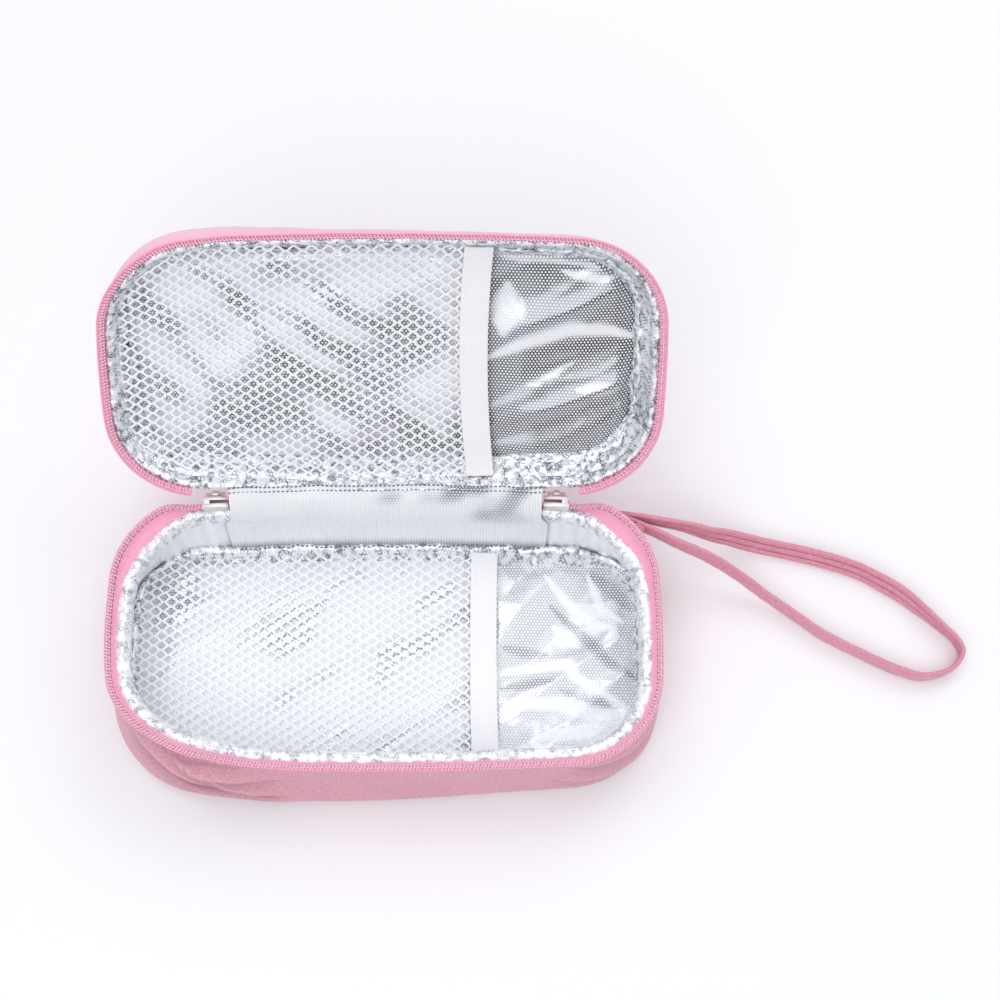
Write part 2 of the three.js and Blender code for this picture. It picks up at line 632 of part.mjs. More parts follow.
function lid_half() {
  const edge = LID_OVERHANG - LID_TAPER - EDGE_RADIUS;
  const stop = LID_RIM + SANDWICH_STOP;
  const foam_z = LID_TOP - FABRIC - GAP - FOAM;
  const liner_z = foam_z - GAP - FOIL;
  const net_z = liner_z - NET_RISE;
  const inside = lid_wall(liner_z) - WALL_STACK - FOIL - GAP;
  return [
    part("lid_top_panel", panel(edge - GAP, LID_TOP - FABRIC, FABRIC), ROSE),
    part("lid_side_band", lid_side_band(), ROSE),
    part("lid_top_foam", panel(edge - GAP, foam_z, FOAM), FOAM_WHITE),
    part("lid_wall_foam", layer(lid_wall, FABRIC + GAP, FOAM, stop, LID_TOP - EDGE_RADIUS), FOAM_WHITE),
    part("lid_top_liner", lid_liner(lid_wall(liner_z) - WALL_STACK, liner_z), SILVER),
    part("lid_wall_liner", layer(lid_wall, WALL_STACK, FOIL, stop, liner_z - GAP), SILVER),
    part("lid_top_seam", seam_roll(inside, liner_z - GAP, -1), SILVER),
    part("lid_rim_hem", rim_hem(lid_wall, LID_RIM + GAP), SILVER),
    part("lid_zip_tape", zip_tape(LID_ZIP_START, lid_zip_line), PINK),
    part("lid_zip_teeth", zip_teeth(LID_ZIP_START, lid_zip_line), PINK),
    part("lid_pocket_net", pocket_net(inside, LID_MOUTH, net_z - NET_THICKNESS), WHITE),
    part("lid_pocket_binding", pocket_binding(inside, LID_MOUTH, net_z - BINDING_THICKNESS), WHITE),
  ];
}

// The lid is drawn closed, then turned open about the hinge line
function opened(meshes) {
  const pivot = new THREE.Group();
  pivot.position.set(0, HINGE_Y, LID_RIM);
  pivot.rotation.x = -OPEN_ANGLE;
  const closed = new THREE.Group();
  closed.position.set(0, -HINGE_Y, -LID_RIM);
  closed.add(...meshes);
  pivot.add(closed);
  return pivot;
}

function slider_group(name, side) {
  const angle = angle_at(side < 0 ? SLIDER_AT : LENGTH - SLIDER_AT);
  const group = new THREE.Group();
  group.position.copy(outline_point(angle, -TAPE_INSET, BASE_HEIGHT + GAP));
  group.rotation.z = angle - Math.PI / 2;
  const tab = part(`${name}_pull`, pull(), NICKEL);
  tab.position.set(0, ROD_Y, ROD_Z);
  group.add(part(`${name}_slider`, slider(side), NICKEL), tab);
  return group;
}

function strap_group() {
  const { geometry, position, turn } = strap_anchor();
  const anchor = part("strap_anchor", geometry, DARK_ROSE);
  anchor.position.copy(position);
  anchor.rotation.z = turn;
  const group = new THREE.Group();
  group.add(anchor, part("wrist_strap", wrist_strap(), DARK_ROSE));
  return group;
}

const cooling_case = new THREE.Group();
cooling_case.add(...base_half(), opened(lid_half()));
cooling_case.add(slider_group("left", -1), slider_group("right", 1), strap_group());

export default cooling_case;
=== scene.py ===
# %% [markdown]
# # An insulin cooling case, lying open
# A soft zipped pouch: two foil-lined halves, a net pocket in each, a nylon zip round both rims and a wrist
# strap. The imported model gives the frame, and every piece below is sewn round it. Sizes are in millimetres
# until a mesh is made, because cloth, stitches and zip coils are small.

# %% Load the frame
import math

import bpy
import numpy as np
from mathutils import Matrix, Vector


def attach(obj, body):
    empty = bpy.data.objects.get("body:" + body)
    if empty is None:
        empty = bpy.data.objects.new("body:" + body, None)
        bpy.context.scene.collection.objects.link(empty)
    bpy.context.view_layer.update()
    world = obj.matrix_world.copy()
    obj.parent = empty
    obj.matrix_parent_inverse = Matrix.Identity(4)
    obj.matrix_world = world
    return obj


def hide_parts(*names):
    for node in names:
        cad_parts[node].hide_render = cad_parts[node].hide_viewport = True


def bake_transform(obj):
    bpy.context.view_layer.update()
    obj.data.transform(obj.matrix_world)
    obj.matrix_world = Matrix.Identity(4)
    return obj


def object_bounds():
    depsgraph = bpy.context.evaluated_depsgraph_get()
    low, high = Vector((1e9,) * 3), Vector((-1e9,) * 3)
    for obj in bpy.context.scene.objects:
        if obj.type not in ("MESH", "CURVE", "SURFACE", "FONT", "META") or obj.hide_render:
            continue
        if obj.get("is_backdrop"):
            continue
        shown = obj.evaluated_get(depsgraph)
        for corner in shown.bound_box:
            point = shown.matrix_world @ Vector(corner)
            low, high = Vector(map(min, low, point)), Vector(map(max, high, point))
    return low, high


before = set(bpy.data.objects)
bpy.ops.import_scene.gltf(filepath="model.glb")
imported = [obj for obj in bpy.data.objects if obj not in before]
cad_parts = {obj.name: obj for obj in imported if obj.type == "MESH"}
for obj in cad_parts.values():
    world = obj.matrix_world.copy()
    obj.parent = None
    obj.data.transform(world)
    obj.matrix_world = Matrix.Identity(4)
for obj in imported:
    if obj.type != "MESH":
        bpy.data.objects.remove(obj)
cad_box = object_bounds()
MM = 0.001

# %% [markdown]
# ## Camera
# The photograph looks down on the case from the front, a little turned and rolled. The place and the two
# directions below were fitted to the outlines of both rims. A camera in Blender looks along its own -Z, so
# its matrix holds right, up and backward as columns.

# %% Camera
PHOTO_SIDE = 1000
FOCAL_PIXELS = 1700
SENSOR = 36.0
CLIP_START = 0.01
CAMERA_PLACE = Vector((0.03827, -0.17775, 0.65915))
LOOK = Vector((0.00877906, 0.34682456, -0.93788893))
LOOK_UP = Vector((0.00174481, 0.93791834, 0.34685176))


def added(operator, **settings):
    """Runs an operator that adds an object while nothing else is selected, and returns the object."""
    bpy.ops.object.select_all(action="DESELECT")
    operator(**settings)
    return bpy.context.object


camera = added(bpy.ops.object.camera_add)
camera.name = "photo_camera"
camera.data.sensor_width = SENSOR
camera.data.lens = SENSOR * FOCAL_PIXELS / PHOTO_SIDE
backward = -LOOK.normalized()
sideways = LOOK_UP.cross(backward).normalized()
upward = backward.cross(sideways)
turn = Matrix((sideways, upward, backward)).transposed().to_4x4()
camera.matrix_world = Matrix.Translation(CAMERA_PLACE) @ turn
camera.data.clip_start = CLIP_START
bpy.context.scene.camera = camera
print("camera: lens", round(camera.data.lens, 1), "mm")

# %% [markdown]
# ## Node helpers
# A finish is a tree of small nodes. A few helpers keep each tree readable: one adds a node and fills its
# sockets, and the others add the nodes that most finishes need. A socket that is given another socket is
# linked to it.

# %% Node helpers
def add_node(tree, kind, inputs=None, **settings):
    made = tree.nodes.new("ShaderNode" + kind)
    for key, value in settings.items():
        setattr(made, key, value)
    for key, value in (inputs or {}).items():
        if isinstance(value, bpy.types.NodeSocket):
            tree.links.new(value, made.inputs[key])
        else:
            made.inputs[key].default_value = value
    return made


def maths(tree, operation, first, second=0.0, clamp=False):
    return add_node(tree, "Math", {0: first, 1: second}, operation=operation, use_clamp=clamp).outputs[0]


def blended(tree, share, first, second):
    return add_node(tree, "Mix", {0: share, 6: first, 7: second}, data_type="RGBA").outputs[2]


def blended_value(tree, share, first, second):
    return add_node(tree, "Mix", {0: share, 2: first, 3: second}).outputs[0]


def noise(tree, place, scale, detail=2.0):
    return add_node(tree, "TexNoise", {"Vector": place, "Scale": scale, "Detail": detail}).outputs[0]


def remap(tree, value, *limits, **settings):
    """A value moved from between two limits to between the next two, or to between 0 and 1."""
    return add_node(tree, "MapRange", dict(enumerate((value, *limits))), **settings).outputs[0]


def feed(tree, shader, **values):
    """Links each value to the shader's socket of that name."""
    for label, value in values.items():
        tree.links.new(value, shader.inputs[label.replace("_", " ")])


def emboss(tree, shader, height, strength, distance):
    bump = add_node(tree, "Bump", {"Strength": strength, "Distance": distance, "Height": height})
    feed(tree, shader, Normal=bump.outputs[0])


def new_group(name, inputs, outputs):
    group = bpy.data.node_groups.new(name, "ShaderNodeTree")
    for in_out, sockets in (("INPUT", inputs), ("OUTPUT", outputs)):
        for label, kind in sockets:
            group.interface.new_socket(label, in_out=in_out, socket_type=kind)
    return group, group.nodes.new("NodeGroupInput"), group.nodes.new("NodeGroupOutput")


def use_group(tree, group, **inputs):
    return add_node(tree, "Group", inputs, node_tree=group)


def new_finish(name, **sockets):
    finish = bpy.data.materials.new(name)
    finish.use_nodes = True
    tree = finish.node_tree
    shader = tree.nodes["Principled BSDF"]
    for label, value in sockets.items():
        shader.inputs[label.replace("_", " ")].default_value = value
    return finish, tree, shader


def flat_place(tree):
    """The piece's own UV map, whose unit is a metre of flat cloth."""
    return add_node(tree, "UVMap", uv_map="UVMap").outputs[0]


def mark_sides(tree):
    """The piece's marks as two masks: how far they lie above 0, and how far below."""
    mark = add_node(tree, "Attribute", attribute_name="mark").outputs["Fac"]
    below = maths(tree, "MULTIPLY", mark, -1.0)
    return maths(tree, "MAXIMUM", mark, 0.0), maths(tree, "MAXIMUM", below, 0.0)


def opaque(colour, share=1.0, lift=0.0):
    """A colour with full alpha, darkened or lightened."""
    return tuple(min(1.0, share * c + lift) for c in colour) + (1.0,)


print("node helpers: ready")

# %% [markdown]
# ## Shared effects
# Three effects serve most finishes. `weave` is a plain weave of crossing threads. `heather` is the mottle
# of a yarn spun from two shades: streaks along both thread directions. `dots` is the embossing of the foil,
# round dots in a honeycomb order, made from the distance to the nearer of two shifted grids.

# %% Shared effects
FLOAT, VECTOR = "NodeSocketFloat", "NodeSocketVector"

weave, w_in, w_out = new_group("weave", [("Vector", VECTOR), ("Pitch", FLOAT)], [("Height", FLOAT)])
w_xyz = add_node(weave, "SeparateXYZ", {0: w_in.outputs["Vector"]})
w_turns = maths(weave, "DIVIDE", 2 * math.pi, w_in.outputs["Pitch"])
w_waves = [maths(weave, "SINE", maths(weave, "MULTIPLY", w_xyz.outputs[k], w_turns)) for k in (0, 1)]
w_crossing = maths(weave, "MULTIPLY", w_waves[0], w_waves[1])
feed(weave, w_out, Height=maths(weave, "MULTIPLY_ADD", w_crossing, 0.5))

heather, h_in, h_out = new_group("heather", [("Vector", VECTOR), ("Streak", FLOAT)], [("Mottle", FLOAT)])
h_threads = []
for stretch in ((0.25, 1.0, 1.0), (1.0, 0.3, 1.0)):
    h_place = add_node(heather, "Mapping", {"Vector": h_in.outputs["Vector"], "Scale": stretch})
    h_threads.append(noise(heather, h_place.outputs[0], h_in.outputs["Streak"]))
h_both = maths(heather, "ADD", h_threads[0], h_threads[1])
feed(heather, h_out, Mottle=maths(heather, "MULTIPLY", h_both, 0.5))

dots, d_in, d_out = new_group("dots", [("Vector", VECTOR), ("Pitch", FLOAT), ("Radius", FLOAT)],
                              [("Dot", FLOAT), ("Height", FLOAT)])
d_xyz = add_node(dots, "SeparateXYZ", {0: d_in.outputs["Vector"]})
d_across = maths(dots, "DIVIDE", d_xyz.outputs[0], d_in.outputs["Pitch"])
d_row_pitch = maths(dots, "MULTIPLY", d_in.outputs["Pitch"], math.sqrt(3))
d_rows = maths(dots, "DIVIDE", d_xyz.outputs[1], d_row_pitch)


def in_cell(place, shift):
    """Where a place lies in its cell of a grid, from -0.5 to 0.5."""
    return maths(dots, "SUBTRACT", maths(dots, "FRACT", maths(dots, "ADD", place, shift)), 0.5)


d_far = []
for shift in (0.0, 0.5):
    d_x = in_cell(d_across, shift)
    d_y = maths(dots, "MULTIPLY", in_cell(d_rows, shift), math.sqrt(3))
    d_squares = maths(dots, "ADD", maths(dots, "MULTIPLY", d_x, d_x), maths(dots, "MULTIPLY", d_y, d_y))
    d_far.append(maths(dots, "SQRT", d_squares))
d_near = maths(dots, "MULTIPLY", maths(dots, "MINIMUM", d_far[0], d_far[1]), d_in.outputs["Pitch"])
d_share = maths(dots, "DIVIDE", d_near, d_in.outputs["Radius"])
d_dome = maths(dots, "SUBTRACT", 1.0, maths(dots, "MULTIPLY", d_share, d_share), clamp=True)
d_edge = remap(dots, d_share, 1.15, 0.8, 0.0, 1.0, interpolation_type="SMOOTHSTEP")
feed(dots, d_out, Dot=d_edge, Height=d_dome)
print("effects:", [group.name for group in (weave, heather, dots)])

# %% [markdown]
# ## Finishes
# The outer cloth is a dusty rose polyester with a heather mottle; its creases carry painted shade and its
# crests painted highlights, and the lid's copy of it is painted paler, as lit. The zip is a brighter, cleaner
# pink. The foil is a metal film with white embossed dots: the film mirrors whatever it faces, so it swings
# from dark to white over each crease, helped by painted pale and dark reflections, and the dots stay white.
# Net and binding are plain white, and the zip hardware is nickel.

# %% Cloth finishes
def cloth_finish(name, light, dark, streak, pitch, depth, roughness=0.9):
    """Woven yarn of two tones. Its mark runs from -1, a painted highlight on a crest, to 1, painted shade in
    a crease.
    """
    finish, tree, shader = new_finish(name, Roughness=roughness, Sheen_Weight=0.25, Sheen_Roughness=0.5)
    place = flat_place(tree)
    mottle = use_group(tree, heather, Vector=place, Streak=streak).outputs[0]
    share = remap(tree, mottle, 0.36, 0.64)
    broad = add_node(tree, "Math", {0: noise(tree, place, 40.0), 1: 0.3, 2: -0.15}, operation="MULTIPLY_ADD")
    shade = maths(tree, "ADD", share, broad.outputs[0], clamp=True)
    crease, crest = mark_sides(tree)
    # painted shade darkens a crease towards the dark yarn, and a painted highlight lifts a crest paler
    crease_shaded = blended(tree, crease, blended(tree, shade, opaque(dark), opaque(light)), opaque(dark, 0.42))
    feed(tree, shader, Base_Color=blended(tree, crest, crease_shaded, opaque(light, 1.1, 0.04)))
    threads = use_group(tree, weave, Vector=place, Pitch=pitch).outputs[0]
    emboss(tree, shader, maths(tree, "ADD", threads, maths(tree, "MULTIPLY", mottle, 0.8)), 0.6, depth)
    return finish


# streaks, thread pitch and depth of the finest yarn
FINE_YARN = (3000.0, 0.0004, 0.00004)
ROSE = cloth_finish("rose_heather", (0.88, 0.47, 0.55), (0.60, 0.25, 0.33), 2600.0, 0.0005, 0.00012)
# the lid's copy of the rose cloth, paler and smoother: painted light, as the lid faces the light
ROSE_PAINTED_LIT = cloth_finish("rose_heather_painted_lit", (0.95, 0.60, 0.72), (0.90, 0.52, 0.65), 2600.0, 0.0005, 0.00006)
TAPE = cloth_finish("zip_tape_pink", (0.93, 0.44, 0.60), (0.88, 0.37, 0.53), 1800.0, 0.0007, 0.0001, 0.7)
NYLON = cloth_finish("zip_nylon_pink", (0.95, 0.48, 0.62), (0.90, 0.40, 0.55), 900.0, 0.002, 0.00002, 0.4)
THREAD = cloth_finish("zip_thread_pink", (0.97, 0.72, 0.80), (0.94, 0.62, 0.72), *FINE_YARN)
# stitches beside the coil, coloured dark as painted shade of the groove between tape and coil
SEAM_THREAD_SHADED = cloth_finish("zip_seam_painted_shade", (0.55, 0.14, 0.27), (0.42, 0.10, 0.20), *FINE_YARN)
GREY_THREAD = cloth_finish("seam_grey", (0.22, 0.23, 0.27), (0.14, 0.15, 0.18), *FINE_YARN)
STRAP = cloth_finish("strap_heather", (0.80, 0.36, 0.46), (0.60, 0.20, 0.29), 2200.0, 0.0006, 0.0001)
WHITE_NET = cloth_finish("net_white", (0.95, 0.95, 0.97), (0.88, 0.89, 0.93), *FINE_YARN)
WHITE_BAND = cloth_finish("binding_white", (0.92, 0.91, 0.93), (0.88, 0.87, 0.90), 2400.0, 0.0006, 0.00005)
print("cloth finishes:", len(bpy.data.materials))

# %% Foil finishes
DOT_PITCH, DOT_RADIUS, LINING_DOT_RADIUS = 0.0013, 0.00042, 0.00036
FOIL_DOT, CRUMPLED_DOT, FILM_SHADOW = (0.96, 0.96, 0.98), (0.95, 0.96, 0.98), (0.2, 0.21, 0.25)


def foil_finish(name, film, dark_reflection_colour, pale):
    """Embossed film. Its mark runs from -1, a painted dark reflection, to 1, a painted pale reflection on
    less metallic, rougher film.
    """
    finish, tree, shader = new_finish(name)
    place = flat_place(tree)
    pattern = use_group(tree, dots, Vector=place, Pitch=DOT_PITCH, Radius=DOT_RADIUS)
    mask = pattern.outputs["Dot"]
    pale_reflection, dark_reflection = mark_sides(tree)
    # painted reflections: the film's colour goes dark where its mark is below 0 and pale where it is above
    skin = blended(tree, pale_reflection, blended(tree, dark_reflection, opaque(film), opaque(dark_reflection_colour)), opaque(pale))
    metal, gloss = blended_value(tree, pale_reflection, 1.0, 0.12), blended_value(tree, pale_reflection, 0.2, 0.42)
    feed(tree, shader, Base_Color=blended(tree, mask, skin, opaque(FOIL_DOT)),
         Metallic=blended_value(tree, mask, metal, 0.1), Roughness=blended_value(tree, mask, gloss, 0.45))
    fine = maths(tree, "MULTIPLY", noise(tree, place, 260.0, 3.0), 0.25)
    emboss(tree, shader, maths(tree, "ADD", pattern.outputs["Height"], fine), 0.7, 0.00015)
    return finish


def crumpled_finish(name, film, crease_shade_colour, metal):
    """Foil drawn up by stitches: small facets that mirror different things, and patches of its dots. Painted
    shade darkens the small creases along the facets' edges.
    """
    finish, tree, shader = new_finish(name)
    place = flat_place(tree)
    pattern = use_group(tree, dots, Vector=place, Pitch=DOT_PITCH, Radius=DOT_RADIUS)
    patchy = remap(tree, noise(tree, place, 90.0), 0.47, 0.6)
    mask = maths(tree, "MULTIPLY", pattern.outputs["Dot"], patchy)
    cells = add_node(tree, "TexVoronoi", {"Vector": place, "Scale": 980.0}, feature="DISTANCE_TO_EDGE")
    sharp = remap(tree, cells.outputs["Distance"], 0.24, 0.08)
    spread = remap(tree, noise(tree, place, 330.0, 1.0), 0.44, 0.6)
    # painted shade: the crease colour along the edges of the facets
    skin = blended(tree, maths(tree, "MULTIPLY", sharp, spread), opaque(film), opaque(crease_shade_colour))
    feed(tree, shader, Base_Color=blended(tree, mask, skin, opaque(CRUMPLED_DOT)),
         Metallic=blended_value(tree, mask, metal, 0.1), Roughness=blended_value(tree, patchy, 0.28, 0.38))
    facets = add_node(tree, "TexVoronoi", {"Vector": place, "Scale": 330.0}).outputs["Distance"]
    rough = maths(tree, "MULTIPLY", noise(tree, place, 520.0, 3.0), 0.6)
    emboss(tree, shader, maths(tree, "ADD", facets, rough), 0.9, 0.0008)
    return finish


def lining_finish(name, light, dark, rib_pitch, metal, roughness=0.42):
    """Film stretched over ribbed foam, its light and dark stripes painted shading of the ribs. A mark above 0
    is painted shade in a crease, one below 0 is painted shade between the dots.
    """
    finish, tree, shader = new_finish(name, Metallic=metal, Roughness=roughness)
    place = flat_place(tree)
    along = add_node(tree, "SeparateXYZ", {0: place}).outputs[0]
    wave = maths(tree, "SINE", maths(tree, "MULTIPLY", along, 2 * math.pi / rib_pitch))
    patch = noise(tree, place, 75.0)
    depth = remap(tree, patch, 0.36, 0.62, 0.15, 0.5)
    ribs = maths(tree, "MULTIPLY", maths(tree, "ADD", wave, 1.0), depth, clamp=True)
    crease, dot_gap_shade = mark_sides(tree)
    crease_shaded = maths(tree, "MULTIPLY", crease, remap(tree, wave, -1.0, 1.0, 0.55, 1.0))
    pattern = use_group(tree, dots, Vector=place, Pitch=DOT_PITCH, Radius=LINING_DOT_RADIUS)
    between = maths(tree, "SUBTRACT", 1.0, pattern.outputs["Dot"])
    gaps = maths(tree, "MAXIMUM", crease_shaded, maths(tree, "MULTIPLY", dot_gap_shade, between))
    # painted shading of the ribs: light and dark stripes in step with the bump's wave
    ribbed = blended(tree, ribs, opaque(light), opaque(dark))
    feed(tree, shader, Base_Color=blended(tree, gaps, ribbed, opaque(FILM_SHADOW)))
    emboss(tree, shader, maths(tree, "ADD", wave, maths(tree, "MULTIPLY", patch, 6.0)), 0.6, 0.0002)
    return finish


# the second and third colours are painted dark and pale reflections on the film
FOIL = foil_finish("foil_embossed", (0.58, 0.60, 0.64), (0.13, 0.14, 0.16), (0.94, 0.94, 0.98))
# the second colour is painted shade in the creases; the pale foil has lighter shade and less metal
CRUMPLED = crumpled_finish("foil_crumpled", (0.89, 0.91, 0.95), (0.20, 0.21, 0.25), 0.55)
PALE_CRUMPLED = crumpled_finish("foil_crumpled_pale", (0.93, 0.94, 0.97), (0.46, 0.47, 0.52), 0.3)
PLAIN_FOIL = lining_finish("foil_pale", (0.95, 0.96, 0.99), (0.84, 0.87, 0.93), 0.0065, 0.15)
RIBBED_FOIL = lining_finish("foil_ribbed", (0.96, 0.97, 0.99), (0.90, 0.92, 0.97), 0.0012, 0.1)
print("cloth and foil finishes:", len(bpy.data.materials))

# %% Metal finish
def metal_finish(name, colour, roughness):
    finish, tree, shader = new_finish(name, Metallic=1.0)
    place = add_node(tree, "TexCoord").outputs["Object"]
    grain, smear = noise(tree, place, 900.0, 3.0), noise(tree, place, 160.0)
    feed(tree, shader, Base_Color=blended(tree, smear, opaque(colour, 0.8), opaque(colour)),
         Roughness=blended_value(tree, grain, roughness * 0.7, roughness * 1.3))
    emboss(tree, shader, grain, 0.2, 0.00005)
    return finish


NICKEL = metal_finish("nickel", (0.90, 0.89, 0.88), 0.55)
print("finishes:", len(bpy.data.materials))

# %% [markdown]
# ## The outline
# Seen from above, the case is a rounded rectangle with bowed sides: nine arcs that meet without a kink.
# Along them the outward normal turns steadily, so a length along the rim gives a point and a normal, and a
# piece that lies further in or out only moves along that normal.

# %% The outline
HALF_WIDTH, HALF_DEPTH, CORNER = 102.0, 51.5, 32.0
LONG_SIDE, SHORT_SIDE = 1400.0, 420.0


def corner_centre():
    long_y, short_x = HALF_DEPTH - LONG_SIDE, HALF_WIDTH - SHORT_SIDE
    reach_long, reach_short = LONG_SIDE - CORNER, SHORT_SIDE - CORNER
    across = np.array([short_x, -long_y])
    distance = np.hypot(*across)
    along = (reach_long ** 2 - reach_short ** 2 + distance ** 2) / (2 * distance)
    across /= distance
    aside = np.array([across[1], -across[0]]) * math.sqrt(reach_long ** 2 - along ** 2)
    return np.array([0.0, long_y]) + across * along + aside


CORNER_X, CORNER_Y = corner_centre()
SIDE_TURN = math.atan2(CORNER_Y, CORNER_X - HALF_WIDTH + SHORT_SIDE)
REAR_TURN = math.atan2(CORNER_Y - HALF_DEPTH + LONG_SIDE, CORNER_X)
HALF_TURN = math.pi
ARC_TURNS = np.array([
    HALF_TURN / 2, HALF_TURN - REAR_TURN, HALF_TURN - SIDE_TURN, HALF_TURN + SIDE_TURN,
    HALF_TURN + REAR_TURN, 2 * HALF_TURN - REAR_TURN, 2 * HALF_TURN - SIDE_TURN,
    2 * HALF_TURN + SIDE_TURN, 2 * HALF_TURN + REAR_TURN, 2.5 * HALF_TURN])
ARC_RADII = np.array([
    LONG_SIDE, CORNER, SHORT_SIDE, CORNER, LONG_SIDE, CORNER, SHORT_SIDE, CORNER, LONG_SIDE])
ARC_CENTRES = np.array([
    [0, HALF_DEPTH - LONG_SIDE], [-CORNER_X, CORNER_Y], [SHORT_SIDE - HALF_WIDTH, 0], [-CORNER_X, -CORNER_Y],
    [0, LONG_SIDE - HALF_DEPTH], [CORNER_X, -CORNER_Y], [HALF_WIDTH - SHORT_SIDE, 0], [CORNER_X, CORNER_Y],
    [0, HALF_DEPTH - LONG_SIDE]])
ARC_ENDS = np.concatenate([[0], np.cumsum(ARC_RADII * np.diff(ARC_TURNS))])
LOOP = ARC_ENDS[-1]


def rim(length):
    """Points on the rim and outward normals, for lengths from the middle of the rear over the left."""
    length = np.mod(length, LOOP)
    arc = np.clip(np.searchsorted(ARC_ENDS, length, side="right") - 1, 0, len(ARC_RADII) - 1)
    angle = np.interp(length, ARC_ENDS, ARC_TURNS)
    normal = np.stack([np.cos(angle), np.sin(angle)], 1)
    return ARC_CENTRES[arc] + ARC_RADII[arc][:, None] * normal, normal


def length_at(degrees):
    """The length along the rim where the outward normal has this angle."""
    return float(np.interp(math.radians(degrees), ARC_TURNS, ARC_ENDS))


def at_rim(length, offset, height):
    point, normal = rim(length)
    spot = point + normal * np.reshape(offset, (-1, 1))
    return np.column_stack([spot, np.broadcast_to(height, len(point))])


def floor_point(u, v, offset):
    """A square from -1 to 1 laid over the inside of the outline."""
    turns = np.linspace(2 * HALF_TURN, 2.5 * HALF_TURN, 400)
    edge = at_rim(np.interp(turns, ARC_TURNS, ARC_ENDS), offset, 0.0)
    reach = LONG_SIDE + offset

    def half_depth(x):
        return HALF_DEPTH - LONG_SIDE + np.sqrt(reach ** 2 - x ** 2)

    share = edge[:, 1] / half_depth(edge[:, 0])
    widest = np.interp(np.abs(v), share, edge[:, 0])
    x = u * widest
    return x, v * half_depth(x)


print("outline:", round(LOOP), "mm round")

# %% [markdown]
# ## The two halves
# Base and lid are sewn alike, so one set of rules serves both. A height of 0 is the lining of the floor,
# and heights rise towards the mouth. The base keeps that, and the lid is turned upside down and then opened
# about the hinge line by the angle in the photograph.

# %% The two halves
SANDWICH, LINING = 5.2, 4.9
LID_LIFT = 9.2
OPEN = math.radians(129)
BASE_TALL, LID_TALL = 36.5, 16.0
BASE_SPREAD, LID_OUT, LID_TAPER = 4.5, 1.0, 2.5
EDGE, RIM_THIN = 7.0, 2.2
HINGE_Y, HINGE_Z = HALF_DEPTH + LID_OUT, BASE_TALL + LID_LIFT
LID_SLUMP = (3.4, 3.2)
TUCK_AT, TUCK_REACH, TUCK = (-84.0, -45.0), 28.0, (4.4, 4.6)


def smooth_step(low, high, value):
    t = np.clip((value - low) / (high - low), 0, 1)
    return t * t * (3 - 2 * t)


def slump(x, y):
    """The soft lid's far left corner hangs inwards where it lies open."""
    end = smooth_step(-50, -98, x)
    far = np.clip((42 - y) / 85, 0, 1)
    return np.column_stack([LID_SLUMP[0] * end * far, LID_SLUMP[1] * end * smooth_step(-5, -42, y), 0 * x])


def tuck(points, rim_height):
    """The base's front left corner sags, and draws its rim inwards over a foot that stays where it is."""
    away = np.hypot(points[:, 0] - TUCK_AT[0], points[:, 1] - TUCK_AT[1])
    pull = np.exp(-(away / TUCK_REACH) ** 2) * smooth_step(0.12, 0.92, points[:, 2] / rim_height)
    return np.column_stack([TUCK[0] * pull, TUCK[1] * pull, 0 * pull])


class CaseHalf:
    """One half: its outer rim and foot, its pocket's mouth, its zip's start and how far its lining leans."""

    def __init__(self, name, tall, lip, foot, mouth, zip_start, seed, lean, net_edge, floor_rise):
        self.name, self.rim, self.lip, self.foot = name, tall - SANDWICH, lip, foot
        self.mouth, self.seed, self.lean = mouth, seed, lean
        self.zip_start, self.zip_span = zip_start, LOOP - 2 * zip_start
        self.net_edge, self.floor_rise = net_edge, floor_rise

    def wall(self, height):
        """How far the outer face of the wall stands out from the rim's outline."""
        return self.lip + (self.foot - self.lip) * (self.rim - height) / (self.rim - EDGE + SANDWICH)

    def inner(self, length, height):
        """Where the lining's face hangs: soft padding leans it inwards at the rear and the front."""
        facing = rim(length)[1][:, 1]
        lean = self.lean[0] * np.maximum(facing, 0) ** 2 + self.lean[1] * np.maximum(-facing, 0) ** 2
        share = np.clip(height / self.rim, 0, 1)
        thin = RIM_THIN * smooth_step(0, self.rim, height) if self.name == "lid" else 0.0
        return self.wall(height) - LINING + thin - lean * (1 - share)

    def world(self, points):
        points = np.array(points, float)
        if self.name == "base":
            return points + tuck(points, self.rim) + [0, 0, SANDWICH]
        points = points + slump(points[:, 0], points[:, 1])
        y, z = points[:, 1] - HINGE_Y, self.rim - points[:, 2]
        cos, sin = math.cos(OPEN), math.sin(OPEN)
        return np.column_stack([points[:, 0], HINGE_Y + y * cos + z * sin, HINGE_Z - y * sin + z * cos])


BASE = CaseHalf("base", tall=BASE_TALL, lip=0.0, foot=BASE_SPREAD, mouth=33.0, zip_start=52.8,
                seed=11, lean=(9.0, 5.0), net_edge=4.8, floor_rise=0.4)
LID = CaseHalf("lid", tall=LID_TALL, lip=LID_OUT, foot=LID_OUT - LID_TAPER, mouth=31.0, zip_start=74.0,
               seed=23, lean=(0.6, 0.6), net_edge=6.6, floor_rise=1.8)
HALVES = (BASE, LID)
print("halves:", [(h.name, round(h.rim, 1)) for h in HALVES])

# %% [markdown]
# ## Cloth tools
# A sheet of cloth starts as a grid, as it lies on the cutting table. Its points are then laid where the
# piece goes, its UV map keeps the flat cloth's size in metres for the weave, and Solidify gives it
# thickness. Soft, seeded noise gives the slack and creases, so that every run makes the same folds.

